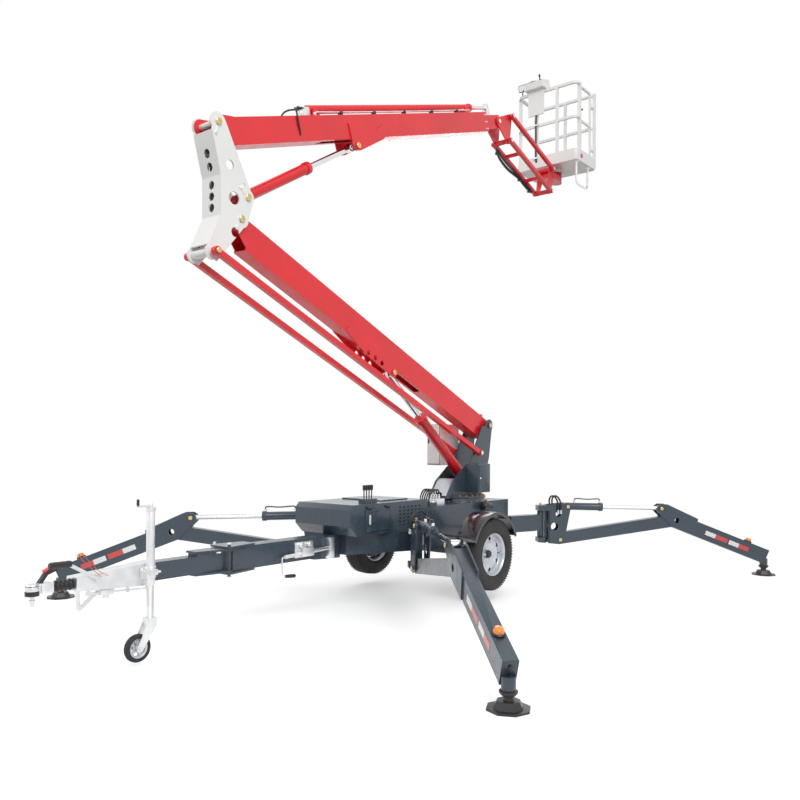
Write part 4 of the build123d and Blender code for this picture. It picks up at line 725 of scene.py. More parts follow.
def boom_pins():
    """Pin heads of booms, rods and jib, and the keeper plates on the knuckle."""
    for pins, y, radius, height, name, material, body in BOOM_PINS:
        ends = [(pin + ACROSS * side * y, ACROSS * side) for pin in pins for side in (-1, 1)]
        pin_caps(ends, radius, height, name, material, body)
    parts = []
    for pin, way in zip(KNUCKLE_PINS, KEEPER_WAYS):
        for side in (-1, 1):
            place = pin + way * 0.07 + ACROSS * side * KEEPER_Y
            seat = sheet_frame(place, way, ACROSS.cross(way) * side)
            parts.append(pad(75, 30, 8, 6, seat))
            parts.append(copies(hex_bolt(0.013), [seat @ moved((0.02, 0, 0.006))]))
    finish(join(parts), "knuckle_keepers", ZINC, "knuckle", edge=0.0008)


def lift_lug():
    """Hooked lifting lug on the root of the lower boom."""
    seat = sheet_frame(lower(0.06, 0.058, 0.014), BOOM_WAY, BOOM_UP)
    finish(plate(
        (
            (0.1, 0), (0.1, 0.022), (0.035, 0.036), (0.008, 0.062), (-0.022, 0.06), (-0.034, 0.044),
            (-0.02, 0.038), (-0.006, 0.044), (0.01, 0.026), (0.012, 0),
        ),
        0.028, seat,
    ), "boom_root_lug", BOOM_RED, "lower_boom", edge=0.003)


def boom_mouth():
    """Pad screws round the mouth of the upper boom."""
    places = []
    for along in (4.092, 4.122):
        for up in (-0.15, -0.073, 0.004):
            for side in (-1, 1):
                places.append(aim(upper(along, up, side * 0.1), ACROSS * side))
        for y in (-0.06, 0.06):
            places.append(aim(upper(along, 0.036, y), UPPER_UP))
    finish(copies(hex_bolt(0.01), places), "mouth_pad_screws", ZINC, "upper_boom", edge=0.0006)


def reach_lines():
    """Steel lines, clips, fittings and foot hoses of the reach cylinder on the upper boom."""
    lines = []
    for y, end in ((0.056, 3.86), (0.074, 3.7)):
        lines.append(pipe((
            upper(1.2, 0.03, y), upper(1.19, 0.06, y), upper(1.215, 0.07, y), upper(1.3, 0.066, y),
            upper(2.0, 0.062, y), upper(3.0, 0.062, y), upper(end - 0.1, 0.066, y), upper(end, 0.07, y),
            upper(end + 0.02, 0.074, y * 0.8), upper(end + 0.02, 0.084, y * 0.5),
        ), 0.006))
    finish(join(lines), "reach_lines", ZINC, "upper_boom")
    clips = []
    for along in (1.55, 2.05, 2.55, 3.05, 3.55):
        seat = sheet_frame(upper(along, 0.036, 0.065), -UPPER_WAY, ACROSS)
        clips.append(pad(28, 46, 6, 36, seat))
    finish(join(clips), "reach_line_clips", SATIN_BLACK, "upper_boom", edge=0.002)

    fittings = []
    for y in (-0.03, 0, 0.03):
        foot = upper(1.165, 0.112 + 0.01 * (y == 0), y)
        fittings.append(bar(foot, foot - UPPER_WAY * 0.036, 0.013, sides=6))
        fittings.append(bar(foot - UPPER_WAY * 0.034, foot - UPPER_WAY * 0.062, 0.01, sides=16))
    valve = block((-0.045, -0.04, -0.032), (0.045, 0.04, 0.032))
    valve.data.transform(sheet_frame(upper(1.125, 0.075, 0), UPPER_WAY, ACROSS))
    fittings.append(valve)
    finish(join(fittings), "reach_foot_fittings", ZINC, "upper_boom", edge=0.0015)
    hoses = []
    for y, low in ((-0.03, -0.02), (0, -0.06), (0.03, -0.1)):
        side = 0.104 if y >= 0 else -0.104
        hoses.append(pipe((
            upper(1.11, 0.112, y), upper(1.05, 0.118, y), upper(0.985, 0.118, y * 1.4 + side * 0.3),
            upper(0.935, 0.085, side * 0.9), upper(0.915, 0.03, side * 1.08), upper(0.912, low, side * 1.04),
            upper(0.915, low - 0.03, side * 0.95),
        ), 0.008))
    finish(join(hoses), "reach_foot_hoses", RUBBER, "upper_boom")


def knuckle_lines():
    """Hoses clipped along the inside of the knuckle's back."""
    lines = []
    for y in (-0.066, -0.022, 0.022, 0.066):
        lines.append(pipe([
            HEAD_PIN + Vector((dx, y, dz)) for dx, dz in (
                (0.205, 0.662), (0.238, 0.655), (0.246, 0.6), (0.236, 0.53), (0.18, 0.33), (0.175, 0.25),
                (0.173, 0.03), (0.19, -0.06), (0.262, -0.215), (0.28, -0.252),
            )
        ], 0.013))
    finish(join(lines), "knuckle_hoses", RUBBER, "knuckle")
    clips = []
    for dx, dz in ((0.238, 0.47), (0.192, 0.185), (0.196, -0.03)):
        clips.append(block(HEAD_PIN + Vector((dx - 0.032, -0.092, dz - 0.012)),
                           HEAD_PIN + Vector((dx + 0.006, 0.092, dz + 0.012))))
    finish(join(clips), "knuckle_hose_clips", SATIN_BLACK, "knuckle", edge=0.003)


JIB_TUBE_Y = -0.117


def jib_lines():
    """Hoses clipped along the underside of the jib frame's right tube."""
    under = JIB_REACH.cross(ACROSS).normalized()
    lines = []
    for y, low, bow in ((-0.128, 0.034, 0.03), (-0.106, 0.034, 0.018), (-0.117, 0.052, 0.04)):
        lines.append(pipe([
            JIB_HEAD_LOW + JIB_REACH * share + ACROSS * y + under * (low + bow * hang) for share, hang in (
                (0.075, -0.7), (0.085, 0), (0.11, 0.6), (0.17, 1.1), (0.26, 1.4), (0.36, 1.3), (0.46, 0.8),
                (0.56, 0.2), (0.62, 0), (0.7, 0.2), (0.78, 0.2), (0.86, 0), (0.9, 0), (0.912, -0.7),
            )
        ], 0.011))
    finish(join(lines), "jib_lines", RUBBER, "jib_frame")
    clips = []
    for share in (0.092, 0.62, 0.86):
        middle = JIB_HEAD_LOW + JIB_REACH * share + ACROSS * JIB_TUBE_Y + under * 0.02
        seat = sheet_frame(middle, JIB_REACH, under.cross(JIB_REACH))
        clips.append(pad(24, 58, 6, 48, seat))
    finish(join(clips), "jib_line_clips", SATIN_BLACK, "jib_frame", edge=0.004)


# Turret

SLEW_X = AXLE_X - 0.62
# Heights of the turret's base plate and of the slew ring's flange, with their circles of bolts
BASE_TOP = 1.005
BASE_CIRCLE = 0.286
FLANGE_TOP = 0.945
FLANGE_CIRCLE = 0.318
SLEW_STEP = pi / 12


def slew_bolts():
    """Bolts of the turret's base plate and of the slew ring, and the slew motor."""
    places = []
    for step in range(24):
        angle = (step + 0.5) * SLEW_STEP
        if 0.3 < abs(sin(angle)) < 0.5:
            # the turret's cheeks stand here
            continue
        place = (SLEW_X + BASE_CIRCLE * cos(angle), BASE_CIRCLE * sin(angle), BASE_TOP)
        places.append(moved(place))
    finish(copies(hex_bolt(0.015), places), "slew_bolts", ORANGE_BOLT, "turret", edge=0.0008)
    ring = around(moved((SLEW_X, 0, FLANGE_TOP)), 24, FLANGE_CIRCLE)
    places = [moved(seat.translation) for seat in ring]
    finish(copies(hex_bolt(0.013), places), "ring_bolts", ORANGE_BOLT, "chassis", edge=0.0008)
    motor = [
        spun(
            (
                (0, 165), (26, 165), (34, 158), (34, 105), (46, 98), (46, 45), (40, 40), (40, 12), (30, 0),
                (0, 0),
            ),
            (SLEW_X + 0.085, 0.386, 0.896), (-1, 0, 0), steps=32,
        ),
        block((SLEW_X - 0.03, 0.33, 0.85), (SLEW_X + 0.03, 0.35, 0.94)),
    ]
    finish(join(motor), "slew_motor", SATIN_BLACK, "chassis", edge=0.003)


def turret_boxes():
    """Door and lock of the valve box; seal, front and latch of the electric cabinet."""
    face = sheet_frame((AXLE_X - 0.708, 0.289, 1.201), (-1, 0, 0))
    finish(pad(218, 292, 10, 5, face), "valve_box_door", SLATE, "turret", edge=0.0012)
    lock_place = face @ Vector((-0.088, 0, 0.005))
    finish(spun(
        ((0, 7), (7, 7), (10, 4), (11, 0), (0, 0)), lock_place, ACROSS, steps=24
    ), "valve_box_lock", CHROME, "turret")

    front = sheet_frame((AXLE_X - 0.57, -0.315, 1.5725), (0, 1, 0))
    finish(pad(176, 458, 6, 6, front), "cabinet_seal", RUBBER, "turret")
    panel = pad(168, 448, 8, 14, front @ moved((0.003, 0.003, 0.002)))
    finish(panel, "cabinet_front", CAGE_WHITE, "turret", edge=0.002)
    handle = [
        pad(16, 90, 6, 10, front @ moved((-0.06, 0.06, 0.016))),
        pipe([front @ Vector(at) for at in (
            (-0.058, 0.15, 0.014), (-0.058, 0.15, 0.036), (-0.05, 0.17, 0.04), (-0.046, 0.196, 0.036),
            (-0.046, 0.204, 0.014),
        )], 0.005),
    ]
    finish(join(handle), "cabinet_latch", SATIN_BLACK, "turret", edge=0.0015)


def turret_front():
    """Pale cover plates between the cheeks, the lower one with a round notch."""
    low = Vector((AXLE_X - 0.232, 0, 1.012))
    high = Vector((AXLE_X - 0.338, 0, 1.16))
    rise = (high - low).length
    seat = sheet_frame(low, ACROSS, high - low)
    half = 0.1055
    notch = [(0.045 * cos(step * pi / 12), 0.045 * sin(step * pi / 12)) for step in range(13)]
    outline = [(half, 0), (half, rise), (-half, rise), (-half, 0)] + notch[::-1]
    finish(plate(outline, 0.005, seat), "turret_cover", WHEEL_STEEL, "turret", edge=0.001)
    upper_seat = sheet_frame(high, ACROSS, Vector((-0.23, 0, 0.16)))
    flap = plate([(half, 0), (half, 0.06), (-half, 0.06), (-half, 0)], 0.005, upper_seat)
    finish(flap, "turret_cover_top", WHEEL_STEEL, "turret", edge=0.001)


def deck_valves():
    """Valve block with fittings and formed lines on the deck before the turret."""
    parts = [block((AXLE_X + 0.06, 0.12, 0.944), (AXLE_X + 0.2, 0.29, 1.012))]
    lines = []
    for step in range(5):
        y = 0.14 + 0.032 * step
        foot = Vector((AXLE_X + 0.13, y, 1.01))
        parts.append(bar(foot, foot + Vector((0, 0, 0.03)), 0.012, sides=6))
        parts.append(bar(foot + Vector((0, 0, 0.028)), foot + Vector((0, 0, 0.048)), 0.009, sides=16))
        reach = 0.13 + 0.022 * step
        lines.append(pipe([foot + Vector(at) for at in (
            (0, 0, 0.044), (0, 0, 0.075), (0.02, 0, 0.098), (0.09, 0.004 * step, 0.098),
            (reach, 0.01 * step, 0.07), (reach + 0.03, 0.012 * step, 0),
            (reach + 0.03, 0.012 * step, -0.066),
        )], 0.008))
    for y in (0.165, 0.245):
        foot = Vector((AXLE_X + 0.2, y, 0.98))
        parts.append(bar(foot, foot + Vector((0.052, 0, 0)), 0.019, sides=24))
        parts.append(bar(foot + Vector((0.05, 0, 0)), foot + Vector((0.062, 0, 0)), 0.014, sides=6))
    finish(join(parts), "deck_valve_block", ZINC, "chassis", edge=0.0015)
    finish(join(lines), "deck_valve_lines", RUBBER, "chassis")


# Power pack cabinet

def cabinet_trim():
    """Door fold and pull, knobs on the outrigger levers and a lid on the cabinet."""
    pull = pad(22, 92, 10.5, 4, sheet_frame((AXLE_X + 1.33, 0.3563, 0.885), (-1, 0, 0)))
    finish(pull, "door_pull", STRIP_WHITE, "cabinet_door", edge=0.001)
    folds = []
    for low_x, low_z, high_x, high_z in (
        (1.02, 0.775, 1.39, 0.787), (1.02, 0.958, 1.39, 0.97), (1.02, 0.787, 1.032, 0.958),
        (1.378, 0.787, 1.39, 0.958),
    ):
        folds.append(block((AXLE_X + low_x, 0.356, low_z), (AXLE_X + high_x, 0.3593, high_z)))
    finish(join(folds), "door_fold", SLATE, "cabinet_door", edge=0.0008)
    grips = []
    for step in range(4):
        grips.append(spun(
            ((0, 52), (8, 51), (13.5, 46), (14.5, 36), (13.2, 10), (10, 0), (0, 0)),
            (AXLE_X + 1.181 + 0.036 * step, 0.245, 1.147), steps=20,
        ))
    finish(join(grips), "lever_knobs", SATIN_BLACK, "chassis")
    lid = pad(420, 520, 15, 12, moved((AXLE_X + 0.8, -0.04, 1.03)))
    finish(lid, "cabinet_lid", SLATE, "chassis", edge=0.003)


# Tow bar, coupling and support wheel

HINGE_X = AXLE_X + 2.737
HOUSING_FRONT = AXLE_X + 4.005
BALL_X = AXLE_X + 4.275
JACK_X = AXLE_X + 3.477
JACK_Y = 0.123


def hinge_pins():
    """Heads of the tow bar's hinge pin, and its locking pin."""
    pin_caps(
        [((HINGE_X, 0.092, 0.777), (0, 0, 1)), ((HINGE_X, 0.092, 0.523), (0, 0, -1))], 0.021, 0.012,
        "hinge_pin_heads", ZINC, "chassis",
    )
    lock = [
        bar((HINGE_X, -0.092, 0.53), (HINGE_X, -0.092, 0.782), 0.011, sides=20),
        copies(hex_bolt(0.02), [moved((HINGE_X, -0.092, 0.761))]),
    ]
    finish(join(lock), "hinge_lock_pin", ZINC, "chassis", edge=0.001)


def winch_lever():
    """Cranked stay with its ratchet and handle on the left of the tow bar."""
    y = 0.112
    parts = [
        bar((AXLE_X + 1.6, y, 0.64), (AXLE_X + 2.16, y, 0.612), 0.017, sides=24),
        block((AXLE_X + 1.8, 0.0755, 0.585), (AXLE_X + 2.02, 0.096, 0.72)),
        block((AXLE_X + 1.84, 0.094, 0.6), (AXLE_X + 1.98, 0.15, 0.668)),
        block((AXLE_X + 1.56, 0.0755, 0.545), (AXLE_X + 1.62, 0.13, 0.73)),
    ]
    for x, z in ((1.86, 0.694), (1.96, 0.694), (1.91, 0.636)):
        parts.append(spun(
            ((0, 30), (18, 30), (24, 24), (24, 0), (0, 0)),
            (AXLE_X + x, 0.096, z), ACROSS, steps=24,
        ))
    finish(join(parts), "tow_bar_stay", ZINC, "chassis", edge=0.002)
    finish(pipe([(AXLE_X + x, y + out, z) for x, out, z in (
        (2.15, 0, 0.6125), (2.185, 0, 0.611), (2.196, 0.01, 0.6), (2.198, 0.014, 0.56),
        (2.198, 0.014, 0.48), (2.194, 0.02, 0.462), (2.18, 0.03, 0.455), (2.11, 0.034, 0.448),
    )], 0.008), "tow_bar_crank", ZINC, "chassis")
    finish(spun(
        ((0, 118), (12, 117), (16, 110), (16.5, 60), (14, 10), (10, 0), (0, 0)),
        (AXLE_X + 2.18, y + 0.031, 0.455), (-1, 0, -0.08), steps=24,
    ), "tow_bar_crank_grip", SATIN_BLACK, "chassis")


def brake_parts():
    """Grip on the brake lever, brake rod and its eye bolts under the tow bar."""
    knee = Vector((HOUSING_FRONT + 0.07, 0.08, 0.775))
    finish(spun(
        (
            (0, 150), (18, 149), (23.5, 142), (24.5, 100), (22.5, 80), (24.5, 60), (22.5, 40), (24.5, 20),
            (21.5, 0), (0, 0),
        ),
        knee + Vector((-0.02, 0, 0)), (1, 0, 0), steps=28,
    ), "brake_lever_grip", SATIN_BLACK, "drawbar_nose")
    rods = [bar((AXLE_X + 3.42, 0.03, 0.52), (AXLE_X + 3.92, 0.03, 0.548), 0.006, sides=14)]
    for x, z in ((3.44, 0.522), (3.6, 0.531), (3.9, 0.547)):
        rods.append(spun(
            ((8, -6), (17, -6), (20, 0), (17, 6), (8, 6), (8, -6)),
            (AXLE_X + x, 0.03, z), ACROSS, steps=24,
        ))
    rods.append(block((AXLE_X + 3.72, 0.01, 0.525), (AXLE_X + 3.82, 0.056, 0.562)))
    rods.append(bar((AXLE_X + 3.77, 0.033, 0.5), (AXLE_X + 3.77, 0.033, 0.56), 0.022, sides=24))
    finish(join(rods), "brake_rod", ZINC, "drawbar_nose", edge=0.0012)


def coupling_trim():
    """Shell, handle with its mark, bolts, ball catch and skirt of the coupling head."""
    dome = spun(
        ((0, 40), (20, 39), (34, 33), (42, 20), (43.5, 4), (43.5, -22), (42.2, -22), (42.2, 0), (0, 30)),
        (BALL_X, 0, 0.625), steps=40,
    )
    shell = plate(
        (
            (0, 0.036), (0.085, 0.038), (0.098, 0.03), (0.098, -0.03), (0.085, -0.038), (0, -0.036),
        ),
        0.069, sheet_frame((BALL_X - 0.128, 0, 0.5925), (1, 0, 0), (0, 1, 0)),
    )
    finish(join([dome, shell]), "coupling_shell", ZINC, "drawbar_nose", edge=0.006)
    finish(plate(
        (
            (0, 0), (0.03, -0.004), (-0.034, 0.082), (-0.112, 0.112), (-0.15, 0.11), (-0.146, 0.086),
            (-0.11, 0.084), (-0.052, 0.06),
        ),
        0.04, sheet_frame((BALL_X - 0.058, 0.02, 0.662), (1, 0, 0)),
    ), "coupling_handle", SATIN_BLACK, "drawbar_nose", edge=0.006)
    finish(plate(
        (
            (-0.012, 0.074), (-0.06, 0.098), (-0.096, 0.104), (-0.098, 0.094), (-0.062, 0.088),
            (-0.018, 0.064),
        ),
        0.044, sheet_frame((BALL_X - 0.058, 0.022, 0.662), (1, 0, 0)),
    ), "coupling_handle_mark", BOOM_RED, "drawbar_nose", edge=0.001)
    bolts = [
        aim((x, side * 0.0375, 0.62), ACROSS * side)
        for x in (BALL_X - 0.09, BALL_X - 0.06) for side in (-1, 1)
    ]
    finish(copies(hex_bolt(0.012), bolts), "coupling_bolts", ZINC, "drawbar_nose", edge=0.0008)
    finish(spun(
        ((0, -75), (10, -75), (13, -68), (13, -46), (20, -44), (20, -28), (14, -26), (14, 0), (0, 0)),
        (BALL_X, 0, 0.585), steps=28,
    ), "coupling_ball_catch", ZINC, "drawbar_nose")
    finish(spun(
        ((26.5, 0), (44, 0), (46, 6), (46, 30), (40, 36), (26.5, 36), (26.5, 0)),
        (BALL_X, 0, 0.583), steps=36,
    ), "coupling_skirt", SATIN_BLACK, "drawbar_nose")


def breakaway_wire():
    """Thin red formed wire ring between the brake lever and the housing."""
    finish(pipe([(HOUSING_FRONT + x, y, z) for x, y, z in (
        (-0.16, 0.096, 0.664), (-0.12, 0.098, 0.7), (-0.02, 0.1, 0.79), (0.01, 0.1, 0.835),
        (-0.012, 0.1, 0.838), (-0.07, 0.1, 0.78), (-0.15, 0.1, 0.69), (-0.215, 0.098, 0.664),
    )], 0.0022), "brake_wire_ring", STRIP_RED, "drawbar_nose")


def support_wheel():
    """Clamp, tube cap and crank grip of the support; tyre, spoked rim and axle nuts of its wheel."""
    clamp = [
        block((JACK_X - 0.05, 0.067, 0.612), (JACK_X + 0.05, 0.098, 0.684)),
        spun(
            mirrored(((30.1, -40), (39, -40), (41, -36))),
            (JACK_X, JACK_Y, 0.655), steps=40,
        ),
        bar((JACK_X - 0.058, 0.165, 0.655), (JACK_X + 0.04, 0.165, 0.655), 0.008, sides=16),
        bar((JACK_X + 0.04, 0.165, 0.655), (JACK_X + 0.11, 0.18, 0.69), 0.007, sides=16),
        block((JACK_X - 0.03, 0.154, 0.635), (JACK_X + 0.03, 0.176, 0.675)),
    ]
    finish(join(clamp), "support_clamp", ZINC, "drawbar_nose", edge=0.0015)
    finish(spun(
        (
            (0, 34), (12, 34), (14, 30), (14, 8), (33, 6), (34, 0), (34, -20), (30.1, -22), (30.1, -2),
            (0, -2),
        ),
        (JACK_X, JACK_Y, 1.113), steps=36,
    ), "support_tube_cap", ZINC, "drawbar_nose")
    finish(spun(
        ((0, 52), (7, 51), (10, 46), (10, 10), (7, 0), (0, 0)),
        (JACK_X + 0.104, JACK_Y, 1.13), steps=20,
    ), "support_crank_grip", SATIN_BLACK, "drawbar_nose")

    centre = Vector((JACK_X + 0.1, JACK_Y, 0.126))
    tyre = spun(
        (
            (70, -18), (74, -24), (88, -25.8), (96, -20), (99.5, -10), (97.5, -4), (99.5, 2), (99.5, 10),
            (96, 20), (88, 25.8), (74, 24), (70, 18), (70, -18),
        ),
        centre, ACROSS, steps=56,
    )
    finish(tyre, "nose_tyre", TYRE, "nose_wheel")
    ring = spun(mirrored(((56, -14), (70.2, -20))), centre, ACROSS, steps=48)
    hub = spun(mirrored(((8.5, -26), (20, -26), (24, -20))), centre, ACROSS, steps=32)
    spoke = plate(
        ((0.02, -0.012), (0.04, -0.0085), (0.06, -0.013), (0.06, 0.013), (0.04, 0.0085), (0.02, 0.012)),
        0.024, moved((0, 0, -0.012)),
    )
    spokes = copies(spoke, around(aim(centre, ACROSS), 5, 0))
    finish(join([ring, hub, spokes]), "nose_wheel_rim", WHEEL_STEEL, "nose_wheel", edge=0.0015)
    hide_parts("nose_wheel")
    pin_caps(
        [(centre + ACROSS * side * 0.043, ACROSS * side) for side in (-1, 1)], 0.012, 0.007,
        "nose_axle_nuts", ZINC, "jack_leg",
    )


# Work platform: x to the boom, y to the left, z up from the underside of its floor

CAGE = moved((AXLE_X - 2.95, 0, 5.33))
FLOOR_TOP = 0.03
CONSOLE_Y = -0.15
MIRROR_Y = -0.375
STEP_Y = 0.405


def caged(x, y, z):
    """A point of the platform's own frame."""
    return CAGE @ Vector((x, y, z))


def console():
    """Panel, joystick, stop button and switches on the platform's desk."""
    desk = CAGE @ sheet_frame((0.293, CONSOLE_Y, 1.1655), (0, -1, 0), (0.958, 0, -0.287))
    finish(pad(270, 188, 10, 4, desk), "console_panel", SATIN_BLACK, "platform", edge=0.001)
    stick_foot = desk @ moved((-0.055, -0.005, 0.004))
    boot = upright(
        ((0, 28), (8, 28), (12, 22), (17, 20), (18, 14), (24, 11), (26, 4), (30, 3), (30, 0), (0, 0)),
        stick_foot, steps=28,
    )
    stick = upright(
        ((0, 88), (10, 86), (14, 78), (13, 62), (8, 52), (6, 24), (0, 24)),
        stick_foot, steps=24,
    )
    toggles = []
    for step in range(5):
        toggle = upright(
            ((0, 26), (3, 25), (4.2, 20), (3, 8), (8, 6), (9, 0), (0, 0)),
            desk @ moved((0.024 * step, 0.03, 0.004)), steps=14,
        )
        toggles.append(toggle)
    finish(join([boot, stick] + toggles), "console_controls", RUBBER, "platform")
    finish(upright(
        ((0, 36), (12, 34), (18, 29), (19, 24), (13, 19), (10, 8), (17, 6), (18, 0), (0, 0)),
        desk @ moved((0.07, -0.025, 0.004)), steps=28,
    ), "console_stop_button", STRIP_RED, "platform")


def cage_trim():
    """Conduit with its clips, mirror, floor tread and reflector of the platform."""
    finish(pipe([caged(x, CONSOLE_Y, z) for x, z in (
        (0.295, 0.722), (0.297, 0.69), (0.303, 0.64), (0.303, 0.48), (0.303, 0.24), (0.303, 0.12),
        (0.297, 0.09), (0.28, 0.082),
    )], 0.011), "console_conduit", RUBBER, "platform")
    clips = []
    for z in (0.577, 0.13):
        seat = CAGE @ sheet_frame((0.284, CONSOLE_Y, z), (0, 1, 0))
        clips.append(pad(52, 20, 5, 30, seat))
    finish(join(clips), "conduit_clips", ZINC, "platform", edge=0.002)

    seat = CAGE @ sheet_frame((0.245, MIRROR_Y, 1.165), (0, 1, 0), (0.2, 0, 0.98))
    shell = pad(150, 95, 18, 16, seat @ moved((0, 0, -0.008)))
    stalk = pipe([caged(x, MIRROR_Y, z) for x, z in (
        (0.268, 1.04), (0.268, 1.075), (0.264, 1.1), (0.248, 1.135),
    )], 0.008)
    finish(join([shell, stalk]), "mirror_shell", SATIN_BLACK, "platform", edge=0.003)
    glass = pad(132, 78, 12, 2, seat @ moved((0, 0, 0.0075)))
    finish(glass, "mirror_glass", CHROME, "platform", edge=0.0005)

    stud = plate(
        ((-0.014, 0), (-0.006, 0.0035), (0.006, 0.0035), (0.014, 0), (0.006, -0.0035), (-0.006, -0.0035)),
        0.0025, Matrix.Identity(4),
    )
    places = []
    for row in range(13):
        for column in range(20):
            turn = Matrix.Rotation(pi / 4 if (row + column) % 2 else -pi / 4, 4, "Z")
            spot = moved((-0.24 + 0.04 * row, -0.39 + 0.041 * column, FLOOR_TOP))
            places.append(CAGE @ spot @ turn)
    finish(copies(stud, places), "floor_tread", CAGE_WHITE, "platform")

    finish(upright(
        ((0, 10), (24, 9), (30, 5), (31, 0), (0, 0)),
        CAGE @ sheet_frame((0.15, 0.45, 0.075), (-1, 0, 0)), steps=32,
    ), "toe_board_reflector", STRIP_RED, "platform")


def gate_step():
    """Bent tube step that hangs under the gate, with its two flanges."""
    loop = [pipe([caged(x, STEP_Y, z) for x, z in (
        (0.215, 0.004), (0.215, -0.09), (0.213, -0.23), (0.207, -0.268), (0.188, -0.292), (0.16, -0.3),
        (0.045, -0.301), (-0.07, -0.3), (-0.098, -0.292), (-0.117, -0.268), (-0.123, -0.23),
        (-0.125, -0.09), (-0.125, 0.004),
    )], 0.014)]
    for x in (0.215, -0.125):
        flange = pad(60, 60, 12, 6, moved(caged(x, STEP_Y, -0.006)))
        loop.append(flange)
    finish(join(loop), "gate_step", ZINC, "platform", edge=0.0008)


def gate_trim():
    """Latch of the platform's gate and caps on its hinge pins."""
    seat = CAGE @ sheet_frame((0.138, 0.415, 0.68), (-1, 0, 0))
    latch = [
        pad(40, 80, 10, 14, seat),
        spun(
            ((0, 32), (10, 31), (13, 25), (10, 16), (8, 0), (0, 0)),
            seat @ Vector((0, 0.012, 0.012)), ACROSS, steps=20,
        ),
    ]
    finish(join(latch), "gate_latch", SATIN_BLACK, "platform_gate", edge=0.0015)
    pin_caps([(caged(-0.225, 0.402, z), (0, 0, 1)) for z in (0.315, 0.9)], 0.012, 0.006, "gate_pin_caps",
             ZINC, "platform")


# All added pieces, in the order of the list

for hand, side in (("left", 1), ("right", -1)):
    road_wheel(hand, side)
for leg_name in LEG_POSTS:
    leg_trim(leg_name)
for model in (
    boom_pins, lift_lug, boom_mouth, reach_lines, knuckle_lines, jib_lines, slew_bolts, turret_boxes,
    turret_front, deck_valves, cabinet_trim, hinge_pins, winch_lever, brake_parts, coupling_trim,
    breakaway_wire, support_wheel, console, cage_trim, gate_step, gate_trim,
):
    model()


# Floor, light and camera

WHITE = (1.0, 1.0, 1.0, 1.0)
# Strength of the world on the machine, and of the floor's own white near it
WORLD_LIGHT = 0.8
FLOOR_GLOW = 0.3
# Distances from the middle between which the floor turns from lit to self-lit
FLOOR_NEAR = 2.6
FLOOR_FAR = 6.5


def combined(tree, operation, first, second):
    """Two fields put together by an operation."""
    node = tree.nodes.new("ShaderNodeMath")
    node.operation = operation
    tree.links.new(first, node.inputs[0])
    tree.links.new(second, node.inputs[1])
    return node.outputs[0]


def seen_rays(tree):
    """One where a ray comes from the camera, a gloss or a clear surface, else zero."""
    rays = tree.nodes.new("ShaderNodeLightPath").outputs
    shiny = combined(tree, "MAXIMUM", rays["Is Glossy Ray"], rays["Is Transmission Ray"])
    return combined(tree, "MAXIMUM", rays["Is Camera Ray"], shiny)


def make_floor():
    """A floor that takes the shadow near the machine and fades into plain white."""
    clear_selection()
    bpy.ops.mesh.primitive_plane_add(size=80.0, location=(0, 0, -0.001))
    floor = bpy.context.object
    floor.name = "studio_floor"
    material, tree, shader, where = new_material("studio_floor_white")
    set_inputs(shader, {"Roughness": 0.9, "Specular IOR Level": 0, "Emission Color": WHITE})
    reach = tree.nodes.new("ShaderNodeVectorMath")
    reach.operation = "LENGTH"
    tree.links.new(where, reach.inputs[0])
    far = spread(tree, reach.outputs["Value"], 0, 1.0, FLOOR_NEAR, FLOOR_FAR)
    tone = ramp(tree, far, ((0, (0.9, 0.9, 0.9)), (1.0, (0, 0, 0))))
    tree.links.new(tone, shader.inputs["Base Color"])
    glow = spread(tree, far, FLOOR_GLOW, 1.0, 0, 1.0)
    shown = combined(tree, "MULTIPLY", glow, seen_rays(tree))
    tree.links.new(shown, shader.inputs["Emission Strength"])
    floor.data.materials.append(material)


def make_world():
    """A white world, weaker on the machine than to the camera."""
    world = bpy.data.worlds.new("studio_world")
    scene.world = world
    world.use_nodes = True
    tree = world.node_tree
    level = spread(tree, seen_rays(tree), WORLD_LIGHT, 1.0, 0, 1.0)
    sky = tree.nodes["Background"]
    sky.inputs["Color"].default_value = WHITE
    tree.links.new(level, sky.inputs["Strength"])


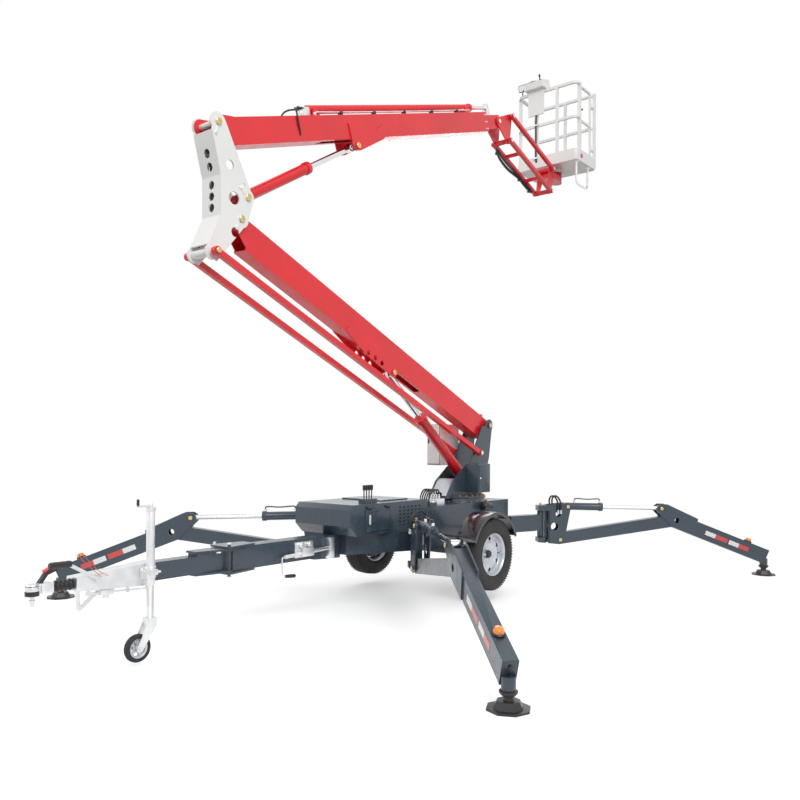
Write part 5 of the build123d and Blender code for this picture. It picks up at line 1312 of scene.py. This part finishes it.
def area_light(name, place, target, size, power):
    """A soft box that faces a point."""
    lamp = bpy.data.lights.new(name, "AREA")
    lamp.shape = "DISK"
    lamp.size = size
    lamp.energy = power
    holder = bpy.data.objects.new(name, lamp)
    scene.collection.objects.link(holder)
    way = Vector(target) - Vector(place)
    holder.matrix_world = moved(place) @ way.to_track_quat("-Z", "Y").to_matrix().to_4x4()


# The camera as fitted to the photograph: place in metres, angles in radians, lens in picture points
CAMERA_PLACE = (6.4573, 5.0559, 1.5979)
CAMERA_HEADING = atan2(-5.05587, -6.77727) + 0.03339
CAMERA_PITCH = 0.007856
CAMERA_ROLL = 0.00599
PICTURE = 800.0
FOCAL_PIXELS = 784.61
CENTRE_ROW = 436.1
SENSOR = 36.0


def make_camera():
    """The photograph's viewpoint, from the fit of its known points."""
    camera = bpy.data.cameras.new("photo_camera")
    camera.sensor_fit = "HORIZONTAL"
    camera.sensor_width = SENSOR
    camera.lens = SENSOR * FOCAL_PIXELS / PICTURE
    camera.shift_y = (CENTRE_ROW - PICTURE / 2) / PICTURE
    camera.clip_end = 200.0
    holder = bpy.data.objects.new("photo_camera", camera)
    scene.collection.objects.link(holder)
    ahead = Vector((
        cos(CAMERA_PITCH) * cos(CAMERA_HEADING), cos(CAMERA_PITCH) * sin(CAMERA_HEADING),
        sin(CAMERA_PITCH),
    ))
    right = Vector((sin(CAMERA_HEADING), -cos(CAMERA_HEADING), 0))
    up = right.cross(ahead)
    turned_right = right * cos(CAMERA_ROLL) + up * sin(CAMERA_ROLL)
    turned_up = up * cos(CAMERA_ROLL) - right * sin(CAMERA_ROLL)
    turn = Matrix((turned_right, turned_up, -ahead)).transposed().to_4x4()
    holder.matrix_world = moved(CAMERA_PLACE) @ turn
    scene.camera = holder


make_floor()
make_world()
area_light("key_box", (5.5, 9.0, 9.5), (0, 0, 2.2), 7.0, 640.0)
area_light("fill_box", (10.0, -4.5, 6.0), (0, 0, 2.5), 6.0, 150.0)
area_light("back_box", (-8.0, -6.0, 9.0), (0, 0, 3.0), 6.0, 260.0)
make_camera()
scene.view_settings.view_transform = "Standard"
